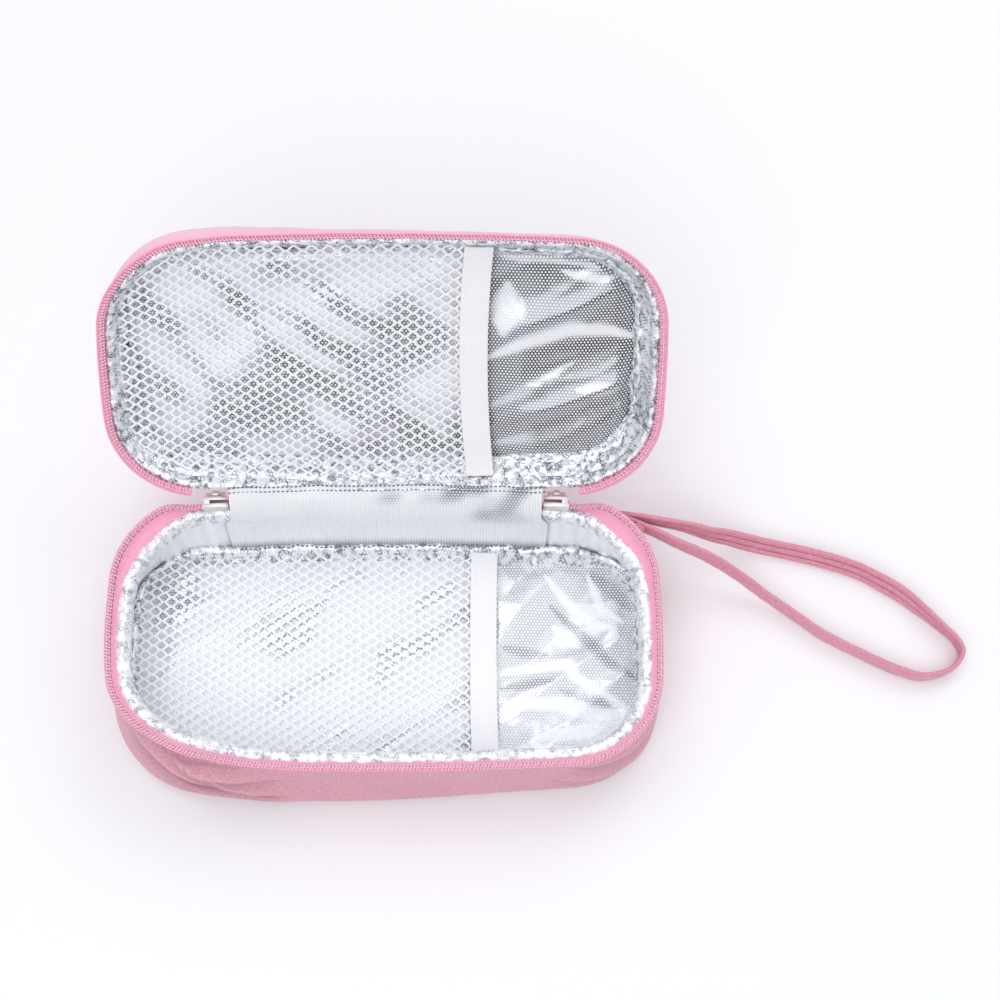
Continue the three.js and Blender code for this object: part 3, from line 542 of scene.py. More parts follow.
# %% Cloth tools
def soft_noise(x, y, seed):
    table = np.random.default_rng(seed).uniform(-1, 1, (64, 64))
    i, j = np.floor(x).astype(int), np.floor(y).astype(int)
    fx, fy = x - i, y - j
    fx, fy = (f * f * f * (f * (6 * f - 15) + 10) for f in (fx, fy))
    low = table[i % 64, j % 64] * (1 - fx) + table[(i + 1) % 64, j % 64] * fx
    high = table[i % 64, (j + 1) % 64] * (1 - fx) + table[(i + 1) % 64, (j + 1) % 64] * fx
    return low * (1 - fy) + high * fy


def crumple(x, y, size, seed):
    """Sharp small ridges between flatter facets, as thin film takes them."""
    first = np.abs(soft_noise(x / size, y / size, seed))
    slant_x, slant_y = 0.8 * x - 0.6 * y, 0.6 * x + 0.8 * y
    second = np.abs(soft_noise(2.1 * slant_x / size, 2.1 * slant_y / size, seed + 1))
    return 1 - 2 * first + 0.5 * (1 - 2 * second)


def run_along(points):
    """Length along a line, from its start to each of its points."""
    return np.concatenate([[0], np.cumsum(np.linalg.norm(np.diff(points, axis=0), axis=1))])


def along_path(path, share):
    """Where a share of a line's length lies, as one array for each coordinate."""
    run = run_along(path)
    return [np.interp(share * run[-1], run, column) for column in np.transpose(path)]


def only(piece):
    bpy.ops.object.select_all(action="DESELECT")
    piece.select_set(True)
    bpy.context.view_layer.objects.active = piece


def edit(piece, *operations):
    """Runs mesh operators on the whole of a piece in edit mode."""
    only(piece)
    bpy.ops.object.mode_set(mode="EDIT")
    bpy.ops.mesh.select_mode(type="VERT")
    bpy.ops.mesh.select_all(action="SELECT")
    for operation in operations:
        operation()
    bpy.ops.object.mode_set(mode="OBJECT")


def weld(piece, distance=1e-6):
    edit(piece, lambda: bpy.ops.mesh.remove_doubles(threshold=distance))


def add_modifier(piece, kind, **settings):
    only(piece)
    bpy.ops.object.modifier_add(type=kind)
    modifier = piece.modifiers[-1]
    for key, value in settings.items():
        setattr(modifier, key, value)
    bpy.ops.object.modifier_apply(modifier=modifier.name)


def points_of(piece):
    points = np.empty(len(piece.data.vertices) * 3)
    piece.data.vertices.foreach_get("co", points)
    return points.reshape(-1, 3)


def move_points(piece, points):
    piece.data.vertices.foreach_set("co", np.ravel(points))
    piece.data.update()


def uv_map(piece):
    return piece.data.uv_layers[0] if piece.data.uv_layers else piece.data.uv_layers.new(name="UVMap")


def set_uv(piece, *flat):
    """Gives every point its place on the flat cloth, in mm."""
    corners = np.empty(len(piece.data.loops), int)
    piece.data.loops.foreach_get("vertex_index", corners)
    uv_map(piece).data.foreach_set("uv", (np.column_stack(flat) * MM)[corners].ravel())


def cloth(name, along, across, lay, flat, closed=False, marks=None):
    """A grid whose points go to lay(u, v) in mm, with flat(u, v) in mm as its UV map, and with its marks."""
    piece = added(bpy.ops.mesh.primitive_grid_add, x_subdivisions=along, y_subdivisions=across, size=2.0)
    piece.name = piece.data.name = name
    u, v = ((points_of(piece)[:, k] + 1) / 2 for k in (0, 1))
    set_uv(piece, *flat(u, v))
    move_points(piece, lay(u, v) * MM)
    if marks:
        piece.data.attributes.new("mark", "FLOAT", "POINT").data.foreach_set("value", marks(u, v))
    if closed:
        weld(piece)
    return piece


def smooth(piece, degrees=60):
    only(piece)
    bpy.ops.object.shade_smooth_by_angle(angle=math.radians(degrees))
    return piece


def round_edges(piece, width, degrees=60):
    add_modifier(piece, "BEVEL", width=width * MM, segments=2, limit_method="ANGLE",
                 angle_limit=math.radians(degrees))


def thickened(piece, thickness, degrees=60, edge=0.0):
    """Gives a laid sheet its thickness, half to each side, rounded edges where asked, and smooth faces."""
    add_modifier(piece, "SOLIDIFY", thickness=thickness * MM, offset=0.0)
    if edge:
        round_edges(piece, edge)
    return smooth(piece, degrees)


def sew(piece, body, slot, finish, *nodes):
    """Gives a finished piece its material and body, and hides the solids that it stands for. Its slot is not
    used.
    A piece without a body is left unattached."""
    piece.data.materials.clear()
    piece.data.materials.append(finish)
    if body:
        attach(piece, body)
    if nodes:
        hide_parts(*nodes)
    print(piece.name, len(piece.data.polygons), "faces")
    return piece


print("cloth tools: ready")

# %% [markdown]
# ## Wrist strap
# A strip of cloth is folded, stitched and sewn into the right rear corner as a loop. It stands on its edge,
# and its first run leans over. It is a cord of one fixed length: a flat tube is laid along the same route as
# in the frame. Its section has three rolled ridges on one side, with a stitched groove between each two.

# %% Strap route
STRAP_ROUTE = [
    (91, 49, 28), (100.4, 47.6, 28.5), (109.1, 46.5, 26.8), (119, 46.3, 22), (128, 45.5, 16.5),
    (136, 45.6, 11.5), (145, 44.6, 7.5), (154, 43.2, 5.2), (170, 39.8, 4.5), (186, 34.8, 4.5),
    (196, 29.8, 4.5), (206, 23.4, 4.5), (213, 17.4, 4.5), (220, 10.8, 4.5), (226, 4.4, 4.5), (228, -1, 4.5),
    (225, -6, 4.5), (219, -9.4, 4.5), (211, -10.6, 4.5), (203, -8.4, 4.5), (195, -5, 4.5), (188, -1.4, 4.5),
    (180, 2.8, 4.5), (172, 7.4, 4.5), (165, 12.6, 4.6), (157, 18.4, 5.2), (149, 23.6, 7), (141.5, 28.2, 10.5),
    (132.5, 32.6, 15.5), (124, 35.6, 20.5), (115, 38, 25), (106.8, 41.2, 27.6), (99.8, 44.2, 28.8),
    (92.5, 47.4, 28.6)]
STRAP_STEPS = 360
CURVE_STEPS = 24


def smooth_route(points, steps):
    """A round curve through the points, evenly stepped, and its length."""
    points = np.array(points, float)
    padded = np.vstack([2 * points[0] - points[1], points, 2 * points[-1] - points[-2]])
    fine = []
    for a, b, c, d in zip(padded, padded[1:], padded[2:], padded[3:]):
        t = np.linspace(0, 1, CURVE_STEPS, endpoint=False)[:, None]
        fine.append(0.5 * (2 * b + (c - a) * t + (2 * a - 5 * b + 4 * c - d) * t ** 2
                           + (3 * b - a - 3 * c + d) * t ** 3))
    fine = np.vstack([*fine, points[-1:]])
    return np.column_stack(along_path(fine, np.linspace(0, 1, steps + 1))), run_along(fine)[-1]


route, strap_length = smooth_route(STRAP_ROUTE, STRAP_STEPS)
print("strap:", round(strap_length), "mm of route")

# %% Strap
STRAP_WIDE, STRAP_THICK = 8.0, 1.7
LEAN_OUT, LEAN_BACK = 34.0, 3.0
STRAP_SECTION = np.array([
    (-0.50, 0.25), (-0.46, 0.45), (-0.20, 0.50), (0.20, 0.50), (0.46, 0.45), (0.50, 0.25), (0.50, -0.25),
    (0.46, -0.46), (0.34, -0.54), (0.23, -0.48), (0.19, -0.10), (0.15, -0.48), (0.00, -0.54), (-0.13, -0.48),
    (-0.17, -0.10), (-0.21, -0.48), (-0.34, -0.54), (-0.46, -0.46), (-0.50, -0.25)])
GROOVES = np.abs(STRAP_SECTION[:, 1]) < 0.2


def strap_frame(path):
    """Across and up directions on the route: the strap leans as it lies in the photograph."""
    along = np.gradient(path, axis=0)
    along /= np.linalg.norm(along, axis=1)[:, None]
    across = np.cross(along, [0, 0, 1.0])
    across /= np.linalg.norm(across, axis=1)[:, None]
    rise = np.cross(across, along)
    share = np.linspace(0, 1, len(path))
    lean = np.radians(-LEAN_OUT * smooth_step(0.06, 0.2, share) * (1 - smooth_step(0.38, 0.47, share))
                      + LEAN_BACK * smooth_step(0.53, 0.62, share) * (1 - smooth_step(0.85, 0.97, share)))
    cos, sin = np.cos(lean)[:, None], np.sin(lean)[:, None]
    return across * cos - rise * sin, rise * cos + across * sin


def section_corner(v):
    """Which corner of the section a row of the grid lies on."""
    return np.round(v * len(STRAP_SECTION)).astype(int) % len(STRAP_SECTION)


def lay_strap(u, v):
    step, corner = np.round(u * STRAP_STEPS).astype(int), section_corner(v)
    across, rise = strap_frame(route)
    up, out = STRAP_SECTION[corner, 0] * STRAP_WIDE, STRAP_SECTION[corner, 1] * STRAP_THICK
    pucker = 0.12 * soft_noise(u * strap_length / 3.0, corner / 3.0, 5)
    return route[step] + rise[step] * up[:, None] - across[step] * (out + pucker)[:, None]


# marks for the strap: painted shade in its stitched grooves, and a slight painted highlight over the rest
def strap_marks(u, v):
    corner = section_corner(v)
    return np.where(GROOVES[corner], 0.75 + 0.25 * soft_noise(u * strap_length / 9, corner / 2.0, 9), -0.12)


strap = cloth("wrist_strap_cloth", STRAP_STEPS, len(STRAP_SECTION), lay_strap,
              lambda u, v: (u * strap_length, v * 2 * STRAP_WIDE), True, strap_marks)
edit(strap, lambda: bpy.ops.mesh.fill_holes(sides=0),
     lambda: bpy.ops.mesh.normals_make_consistent(inside=False))
sew(smooth(strap, 70), "base", "strap_fabric", STRAP, "wrist_strap")

# %% [markdown]
# ## Outer shell
# Each half is a padded wall of rose cloth that rounds into a flat panel. The wall is one strip sewn round
# the outline. Real walls of this kind sag: the base's front corners pull into long slanting drag folds, and
# the lid's far left corner stands out past its zip.

# %% Drag folds
BASE_FOLDS = [
    # crest (length along the rim, height) from end to end, width above, width below, depth
    ([(168, 29), (180, 31), (188, 30.4), (196, 26.4), (203, 21.8), (212, 20), (224, 18.6), (242, 17)],
     7.0, 1.5, 4.2),
    ([(194, 25), (203, 19.4), (213, 13.2), (223, 9), (240, 5.4)], 5.0, 1.5, 3.0),
    ([(194, 7.5), (206, 5), (218, 3.4), (232, 2.2), (250, 1.4)], 3.0, 1.1, 1.6),
    ([(172, 22), (184, 19), (195, 14.6), (206, 11), (220, 9)], 5.0, 1.6, 1.6),
    ([(186, 30.6), (198, 29), (210, 27.8), (228, 27.2)], 2.4, 1.0, 0.9),
    ([(336, 15), (350, 13.5), (362, 10), (374, 6), (388, 3.5)], 6.0, 1.8, 1.7),
    ([(344, 26), (356, 23.5), (368, 19), (380, 14), (392, 11)], 5.0, 1.6, 1.2)]
FOLD_STEPS, FOLD_ROUNDING = 61, 11


def drag_folds(length, height, folds):
    """How far the folds stand out, and their marks: painted shade in the crease below a crest, a painted
    highlight on the crest.
    """
    out, mark = np.zeros_like(length), np.zeros_like(length)
    for line, above, below, depth in folds:
        steps = np.linspace(line[0][0], line[-1][0], FOLD_STEPS)
        crest = np.pad(np.interp(steps, *np.array(line).T), FOLD_ROUNDING // 2, mode="edge")
        crest = np.convolve(crest, np.full(FOLD_ROUNDING, 1 / FOLD_ROUNDING), mode="valid")
        away = height - np.interp(length, steps, crest)
        t = (length - steps[0]) / (steps[-1] - steps[0])
        ends = smooth_step(-0.02, 0.22, t) * (1 - smooth_step(0.62, 1.02, t))
        out += depth * np.exp(-(away / np.where(away > 0, above, below)) ** 2) * ends
        # the marks: painted shade just below the crest and fainter further down, and a painted highlight on
        # the crest
        strength = ends * min(1.0, depth / 2)
        mark += strength * np.exp(-((away + 1.1 * below) / (0.8 * below + 0.4)) ** 2)
        mark += 0.3 * strength * np.exp(-((away + 3.2 * below) / (2.0 * below + 0.6)) ** 2)
        mark -= 0.35 * strength * np.exp(-((away - 0.4) / 0.9) ** 2)
    return out, np.clip(mark, -0.5, 0.9)


print("drag folds:", len(BASE_FOLDS))

# %% Outer shell
SHELL_THICK, SHELL_STEPS = 0.9, (440, 60)
FRONT_SAG, FRONT_SAG_AT, FRONT_SAG_REACH = 3.6, -25.0, 62.0
LID_BULGE, LID_BULGE_AT = 4.2, length_at(238)


def shell_profile(half):
    """Offset and height down the wall's middle layer, from the rim to the edge of the panel."""
    inset = SHELL_THICK / 2
    wall = np.linspace(half.rim - 0.6, EDGE - SANDWICH, 26)
    bend = np.linspace(0, HALF_TURN / 2, 9)[1:]
    radius = EDGE - inset
    return np.vstack([
        [(half.lip - 1.6, half.rim - 0.9), (half.lip - 1.0, half.rim - 0.3)],
        np.column_stack([half.wall(wall) - inset, wall]),
        np.column_stack([half.foot - EDGE + radius * np.cos(bend), EDGE - SANDWICH - radius * np.sin(bend)])])


def shell_bulge(half, length, height):
    share = np.clip((half.rim - height) / (half.rim + SANDWICH), 0, 1)
    slack = 0.5 * soft_noise(length / 23, height / 15, half.seed)
    slack += 0.25 * soft_noise(length / 9, height / 6, half.seed + 3)
    belly = np.sin(np.pi * np.clip(share * 1.1, 0, 1))
    if half is BASE:
        place, normal = rim(length)
        sag = np.exp(-((place[:, 0] - FRONT_SAG_AT) / FRONT_SAG_REACH) ** 2)
        sag = sag * np.maximum(-normal[:, 1], 0) ** 2
        folds = drag_folds(length, height, BASE_FOLDS)[0] * smooth_step(0, 0.12, share)
        return belly * (0.7 + slack) + folds + FRONT_SAG * sag * (1 - smooth_step(-2, 18, height))
    away = length - LID_BULGE_AT
    swell = np.exp(-(away / np.where(away > 0, 60.0, 30.0)) ** 2) * smooth_step(0.0, 0.45, share)
    return belly * (0.4 + slack) + LID_BULGE * swell * (1 - 0.5 * smooth_step(0.75, 1.0, share))


def make_shell(half):
    profile = shell_profile(half)
    reach = run_along(profile)[-1]

    def lay(u, v):
        offset, height = along_path(profile, v)
        bulge = shell_bulge(half, u * LOOP, height) * smooth_step(0.6, 2.8, height + SANDWICH)
        return half.world(at_rim(u * LOOP, offset + bulge, height))

    def marks(u, v):
        # the base's folds carry painted shade in their creases and painted highlights on their crests
        return drag_folds(u * LOOP, along_path(profile, v)[1], BASE_FOLDS)[1] if half is BASE else 0 * u

    piece = cloth(f"{half.name}_shell", *SHELL_STEPS, lay, lambda u, v: (u * LOOP, v * reach), True, marks)
    return thickened(piece, SHELL_THICK)


print("wall strips:", [round(run_along(shell_profile(half))[-1]) for half in HALVES], "mm wide")

# %% Flat panels
SEAM_LAP = 2.6
PANEL_STEPS = (180, 92)
PANEL_HALF, PANEL_FLAT = (105.0, 52.0), (200.0, 100.0)
PANEL_LOWER = {"base": 0.0, "lid": 0.12}
PANEL_NODES = {"base": ("base_bottom_panel", "base_floor_foam"), "lid": ("lid_top_panel", "lid_top_foam")}


def make_panel(half):
    low = -SANDWICH + SHELL_THICK / 2 - PANEL_LOWER[half.name]

    def lay(u, v):
        x, y = floor_point(2 * u - 1, 2 * v - 1, half.foot - EDGE + SEAM_LAP)
        from_end, from_side = 1 - np.abs(2 * u - 1), 1 - np.abs(2 * v - 1)
        rounding = 0.25 * soft_noise(x / 30, y / 30, half.seed + 5) * from_side * from_end
        inside = np.minimum(PANEL_HALF[0] * from_end, PANEL_HALF[1] * from_side)
        turned = np.maximum(SEAM_LAP - inside, 0) ** 2 / (2 * EDGE)
        return half.world(np.column_stack([x, y, low + np.abs(rounding) + turned]))

    piece = cloth(f"{half.name}_panel", *PANEL_STEPS, lay,
                  lambda u, v: (PANEL_FLAT[0] * u, PANEL_FLAT[1] * v))
    return thickened(piece, SHELL_THICK)


for half in HALVES:
    # the lid wears the paler copy of the rose cloth, painted lighter as lit
    finish = ROSE if half is BASE else ROSE_PAINTED_LIT
    shell = sew(make_shell(half), half.name, "rose_fabric", finish, f"{half.name}_side_band",
                f"{half.name}_wall_foam")
    panel = sew(make_panel(half), half.name, "rose_fabric", finish, *PANEL_NODES[half.name])

# %% [markdown]
# ## Foil lining of floor and walls
# The lining is thin metal film on foam. It never lies flat: long slanting folds cross the floor, pleats
# gather in the corners, and the film's mirror shows each of them. The floor is one sheet laid over the
# outline. The wall is a strip round it, smooth and finely ribbed along the hinge and crumpled towards the
# floor elsewhere.

# %% Floor folds
FLOOR_CREASES = {
    # from (x, y), to (x, y), width, height
    "base": [((46, -30), (98, 8), 6, 1.9), ((48, -12), (92, 34), 6, -1.5), ((44, 6), (75, 38), 7, 1.8),
             ((46, -40), (96, -22), 5, -1.3), ((60, -42), (99, -6), 5, 1.5), ((47, 24), (70, 40), 5, -1.0),
             ((-94, -6), (-20, 30), 8, 1.2), ((-80, -34), (20, 14), 9, -1.4),
             ((-30, -40), (30, -14), 8, 1.3)],
    "lid": [((40, -9), (98, -36), 7, 2.3), ((40, 27), (99, 4), 7, 2.2), ((42, 42), (90, 22), 5, 1.4),
            ((52, 6), (96, -10), 6, -0.9), ((-92, 20), (-10, -30), 8, 1.3), ((-70, 36), (24, -20), 7, -1.2),
            ((-40, 42), (28, 8), 8, 1.3), ((-94, -10), (-50, -36), 8, 1.2), ((-84, 34), (-20, 4), 6, 1.1),
            ((-24, -14), (30, -40), 7, 1.3), ((-60, -20), (4, -46), 6, -1.0)]}
CREASE_BEND, CREASE_SHARPNESS = 2.0, 1.3
FOLD_LEAN, FOLD_RUN = {"base": 0.47, "lid": -0.47}, 0.88
UNDER_NET = 1.5


def creases(x, y, lines):
    total = np.zeros_like(x)
    for (ax, ay), (bx, by), width, height in lines:
        dx, dy = bx - ax, by - ay
        size = math.hypot(dx, dy)
        t = ((x - ax) * dx + (y - ay) * dy) / size ** 2
        away = ((x - ax) * dy - (y - ay) * dx) / size + CREASE_BEND * np.sin(3.0 * t)
        ends = smooth_step(-0.15, 0.25, t) * (1 - smooth_step(0.75, 1.1, t))
        total += height * np.exp(-np.abs(away / width) ** CREASE_SHARPNESS) * ends
    return total


def slanted(x, y, lean, run):
    """Places counted along and across a slanting direction."""
    return run * x + lean * y, -lean * x + run * y


def floor_height(half, x, y):
    along, across = slanted(x, y, FOLD_LEAN[half.name], FOLD_RUN)
    folds = 0.3 * crumple(along / 3.5, across, 15.0, half.seed + 7) + 0.06 * crumple(x, y, 8.0, half.seed + 9)
    rise = half.floor_rise if half is BASE else half.floor_rise * (0.2 + 0.8 * smooth_step(40, 58, x))
    rise = rise + UNDER_NET * (1 - smooth_step(half.mouth - 6, half.mouth + 8, x)) * smooth_step(-96, -84, x)
    return rise + creases(x, y, FLOOR_CREASES[half.name]) + folds


print("floor creases:", {name: len(lines) for name, lines in FLOOR_CREASES.items()})

# %% Painted reflections on the film
# how pale a painted reflection makes the film beside the net, apart from its bands; below 0 it is dark
BESIDE = {"base": 0.1, "lid": -0.85}
BRIGHT_BANDS = {
    # points (x, y) along a band of painted pale reflection, half its width, how pale it is
    "base": [([(62.5, 30.5), (70.5, 20.5), (82.5, 10), (90, 9)], 2.1, 1.0),
             ([(79.5, 31.5), (85, 17), (93, 11.5)], 1.6, 1.0),
             ([(65.5, 10), (75, 1.5)], 1.9, 1.0),
             ([(43.5, -9), (60.5, -6.5), (71, -6), (73.5, -11), (92, -22)], 2.4, 1.0),
             ([(44, -22.5), (66, -21.5), (78, -25), (92, -25.5)], 2.8, 1.0),
             ([(57, -35), (72, -33), (84, -31.5)], 2.4, 1.0)],
    "lid": [([(46.5, -29.5), (46.5, -20), (45, -11)], 5.0, 0.8),
            ([(39.5, 0), (53.5, -7), (70.5, -12.5), (85, -11.5), (94, -8.5)], 3.2, 0.95),
            ([(66.5, -35.5), (75.5, -33), (85.5, -33)], 1.7, 0.9),
            ([(40, 20.5), (62.5, 8), (88, -4.5)], 2.4, 0.4),
            ([(41.5, 36.5), (65.5, 30), (89, 18.5)], 2.4, 0.45),
            ([(73.5, 12.5), (88.5, 11.5)], 2.4, 0.3)]}
DARK_BANDS = {
    # the same for bands of painted dark reflection
    "base": [([(64.6, 18.2), (76.7, 6.1), (87.1, -4.9), (97.6, -11.5)], 2.2, 0.8),
             ([(81.3, 31.6), (89.2, 25.7), (96.1, 17.3)], 3, 0.6),
             ([(44.5, 1.7), (54.0, -0.8), (62.3, -1.6)], 2.2, 0.6),
             ([(44.4, -15.4), (55.8, -13.8), (64.9, -12.6)], 1.8, 0.6),
             ([(45.5, 36.3), (49.9, 33.3), (54.7, 32.0)], 3.4, 0.5),
             ([(67.6, -16.2), (79.3, -20.3), (89.0, -23.5)], 1.8, 0.5)],
    "lid": []}
ZONE_LEAN, ZONE_RUN = {"base": 0.6, "lid": 0.66}, 0.78
# noise where a zone of painted dark reflection begins, noise where it is whole, how far it darkens
ZONES = {"base": (0.1, 0.75, 1.0), "lid": (-0.55, 0.85, 1.55)}
FAR_AWAY = 1e3


def band_share(x, y, bands):
    share = np.zeros_like(x)
    for line, wide, strength in bands:
        away, reach = np.full_like(x, FAR_AWAY), np.zeros_like(x)
        for k, ((ax, ay), (bx, by)) in enumerate(zip(line, line[1:])):
            dx, dy = bx - ax, by - ay
            t = np.clip(((x - ax) * dx + (y - ay) * dy) / (dx ** 2 + dy ** 2), 0, 1)
            here = np.hypot(x - ax - t * dx, y - ay - t * dy)
            reach = np.where(here < away, (k + t) / (len(line) - 1), reach)
            away = np.minimum(away, here)
        taper = wide * (0.25 + 0.9 * np.sin(np.pi * np.clip(reach, 0.02, 0.98)) ** 0.7)
        share = np.maximum(share, strength * (1 - smooth_step(0.35 * taper, 1.45 * taper, away)))
    return share


def paleness(half, x, y):
    """Painted reflections on the film: pale under most of the net, apart from slanting dark zones, and a few
    pale and dark bands beside it.
    """
    along, across = slanted(x, y, ZONE_LEAN[half.name], ZONE_RUN)
    zones = soft_noise(along / 26, across / 8, half.seed + 61)
    zones = zones + 0.5 * soft_noise(along / 11, across / 5, half.seed + 63)
    low, high, most = ZONES[half.name]
    covered = 1 - most * smooth_step(low, high, zones)
    bright, dark = (band_share(x, y, bands[half.name]) for bands in (BRIGHT_BANDS, DARK_BANDS))
    beside = bright + (1 - bright) * (BESIDE[half.name] - dark)
    under = 1 - smooth_step(half.mouth + 2, half.mouth + 9, x)
    return under * covered + (1 - under) * beside


print("bands of film:", {name: len(BRIGHT_BANDS[name] + DARK_BANDS[name]) for name in BRIGHT_BANDS})

# %% Floor lining
FILM, FILM_SMOOTH = 0.3, 80
FLOOR_LOWEST, FLOOR_STEPS = -0.6, (260, 132)
FLOOR_NODES = {"base": "base_floor_liner", "lid": "lid_top_liner"}


def make_floor(half):
    edge = half.wall(0) - LINING

    def flat(u, v):
        return floor_point(2 * u - 1, 2 * v - 1, edge)

    def lay(u, v):
        x, y = flat(u, v)
        inside = smooth_step(0, 0.08, 1 - np.abs(2 * u - 1)) * smooth_step(0, 0.12, 1 - np.abs(2 * v - 1))
        height = np.maximum(floor_height(half, x, y) * inside, FLOOR_LOWEST)
        return half.world(np.column_stack([x, y, height]))

    def marks(u, v):
        # the floor film's marks are its painted reflections
        return paleness(half, *flat(u, v))

    piece = cloth(f"{half.name}_floor_foil", *FLOOR_STEPS, lay, flat, marks=marks)
    return thickened(piece, FILM, FILM_SMOOTH)


for half in HALVES:
    floor = sew(make_floor(half), half.name, "silver_foil", FOIL, FLOOR_NODES[half.name])

# %% Wall lining
REAR_SMOOTH, RIB_PITCH = 63.0, 1.6
WALL_STEPS = {"base": (620, 22), "lid": (620, 12)}


def from_rear(length):
    return np.minimum(np.mod(length, LOOP), LOOP - np.mod(length, LOOP))


def make_wall(half):
    top = half.rim - 1.0

    def lay(u, v):
        length, height = u * LOOP, v * top
        plain = 1 - smooth_step(REAR_SMOOTH - 2, REAR_SMOOTH + 3, from_rear(length))
        pleats = 0.7 * crumple(length, height * 0.6, 9.0, half.seed + 13)
        pleats = pleats + 0.4 * crumple(length, height, 5.0, half.seed + 15)
        ribs = 0.06 * np.sin(2 * np.pi * length / RIB_PITCH)
        ribs = ribs + 0.5 * soft_noise(length / 25, height / 12, half.seed + 17)
        low = 0.25 + 0.9 * (1 - smooth_step(0.1, 0.6, v)) if half is BASE else 0.35
        folds = (1 - plain) * pleats * low * 0.8
        offset = half.inner(length, height) + folds + plain * ribs * np.sin(np.pi * v)
        seam = np.exp(-((from_rear(length) - REAR_SMOOTH) / 1.1) ** 2)
        return half.world(at_rim(length, offset + 1.1 * seam, height))

    piece = cloth(f"{half.name}_wall_foil", *WALL_STEPS[half.name], lay,
                  lambda u, v: (u * LOOP, v * top), closed=True)
    return thickened(piece, FILM, FILM_SMOOTH)


for half in HALVES:
    wall = sew(make_wall(half), half.name, "silver_foil", PLAIN_FOIL if half is BASE else CRUMPLED,
               f"{half.name}_wall_liner")

# %% [markdown]
# ## Seam roll and rim hem
# Where floor and wall linings meet, their edges stand up as a puckered ridge. At the rim the film is turned
# over the foam and sewn to the zip tape, and each stitch draws it into a small pucker. Both are strips
# swept round the outline, whose section swells and shrinks along the way.

# %% Seam roll and rim hem
ROLL = [(0.3, -0.5), (0.5, 2.6), (0.2, 4.6), (-0.9, 5.7), (-2.0, 5.0), (-2.9, 3.0), (-3.8, -0.5)]
ROLL_FULL, REAR_RIDGE = {"base": 0.9, "lid": 0.36}, 0.5
ROLL_NODES = {"base": "base_floor_seam", "lid": "lid_top_seam"}
HEM = {"base": [(-0.6, 0.7), (-1.6, 1.1), (-2.8, 0.9), (-4.0, 0.4), (-4.9, -0.6), (-5.3, -2.2), (-5.1, -4.2)],
       "lid": [(-0.6, 0.6), (-1.2, 0.9), (-1.9, 0.8), (-2.6, 0.3), (-3.1, -0.6), (-3.5, -1.7), (-3.8, -3.0)]}
REAR_CORNER_AT, REAR_CORNER_REACH = 97, 19
ROLL_STEPS, HEM_STEPS = (760, 12), (1100, 16)


def swept(half, name, section, steps, shape):
    """A strip round the outline: shape(length, v, out, up) bends the section to offset and height."""
    def lay(u, v):
        return half.world(at_rim(u * LOOP, *shape(u * LOOP, v, *along_path(section, v))))

    wide = run_along(section)[-1]
    piece = cloth(name, *steps, lay, lambda u, v: (u * LOOP, v * wide), closed=True)
    return thickened(piece, FILM, FILM_SMOOTH)


def rear_corner(length):
    """1 in the rear corners, where the base's tape lies wide over a low hem, and 0 elsewhere."""
    return np.exp(-((from_rear(length) - REAR_CORNER_AT) / REAR_CORNER_REACH) ** 2)


def roll_shape(half):
    def shape(length, v, out, up):
        gather = 0.5 * crumple(length, v * 8, 4.5, half.seed + 19)
        gather = gather + 0.6 * soft_noise(length / 14, np.full_like(v, 0.5), half.seed + 21)
        gather = gather + 0.4 * crumple(length, v * 5, 11.0, half.seed + 23)
        size = ROLL_FULL[half.name] + 0.2 * gather
        if half is BASE:
            size = size + REAR_RIDGE * smooth_step(0.7, 0.98, rim(length)[1][:, 1])
        height = half.floor_rise * 0.6 + up * size
        return half.inner(length, height) - 0.3 + out * size + 0.7 * gather * np.sin(np.pi * v), height
    return shape


def hem_shape(half):
    def shape(length, v, out, up):
        pull = 0.6 * crumple(length, v * 7, 3.4, half.seed + 25)
        pull = (pull + 0.5 * crumple(length, v * 9, 7.5, half.seed + 45)) * np.sin(np.pi * v)
        edge = 0.5 * soft_noise(length / 1.7, v * 0, half.seed + 27) * (1 - smooth_step(0.0, 0.25, v))
        corner = rear_corner(length) if half is BASE else 0 * length
        return half.lip + out + edge + 0.55 * pull - 2.4 * corner, half.rim + up + 0.75 * pull - 1.0 * corner
    return shape


for half in HALVES:
    roll = swept(half, f"{half.name}_seam_roll", ROLL, ROLL_STEPS, roll_shape(half))
    sew(roll, half.name, "silver_foil", CRUMPLED, ROLL_NODES[half.name])
    hem = swept(half, f"{half.name}_rim_hem_foil", HEM[half.name], HEM_STEPS, hem_shape(half))
    sew(hem, half.name, "silver_foil", PALE_CRUMPLED if half is BASE else CRUMPLED, f"{half.name}_rim_hem")

# %% Stitches on the rear ridge
RIDGE_HALF, RIDGE_PITCH, RIDGE_BEAD = 60.0, 1.9, (0.75, 0.36, 0.3)
BEAD_TOP = (0.0, 0.3, 0.95)


def linked(name, data):
    piece = bpy.data.objects.new(name, data)
    bpy.context.scene.collection.objects.link(piece)
    return piece


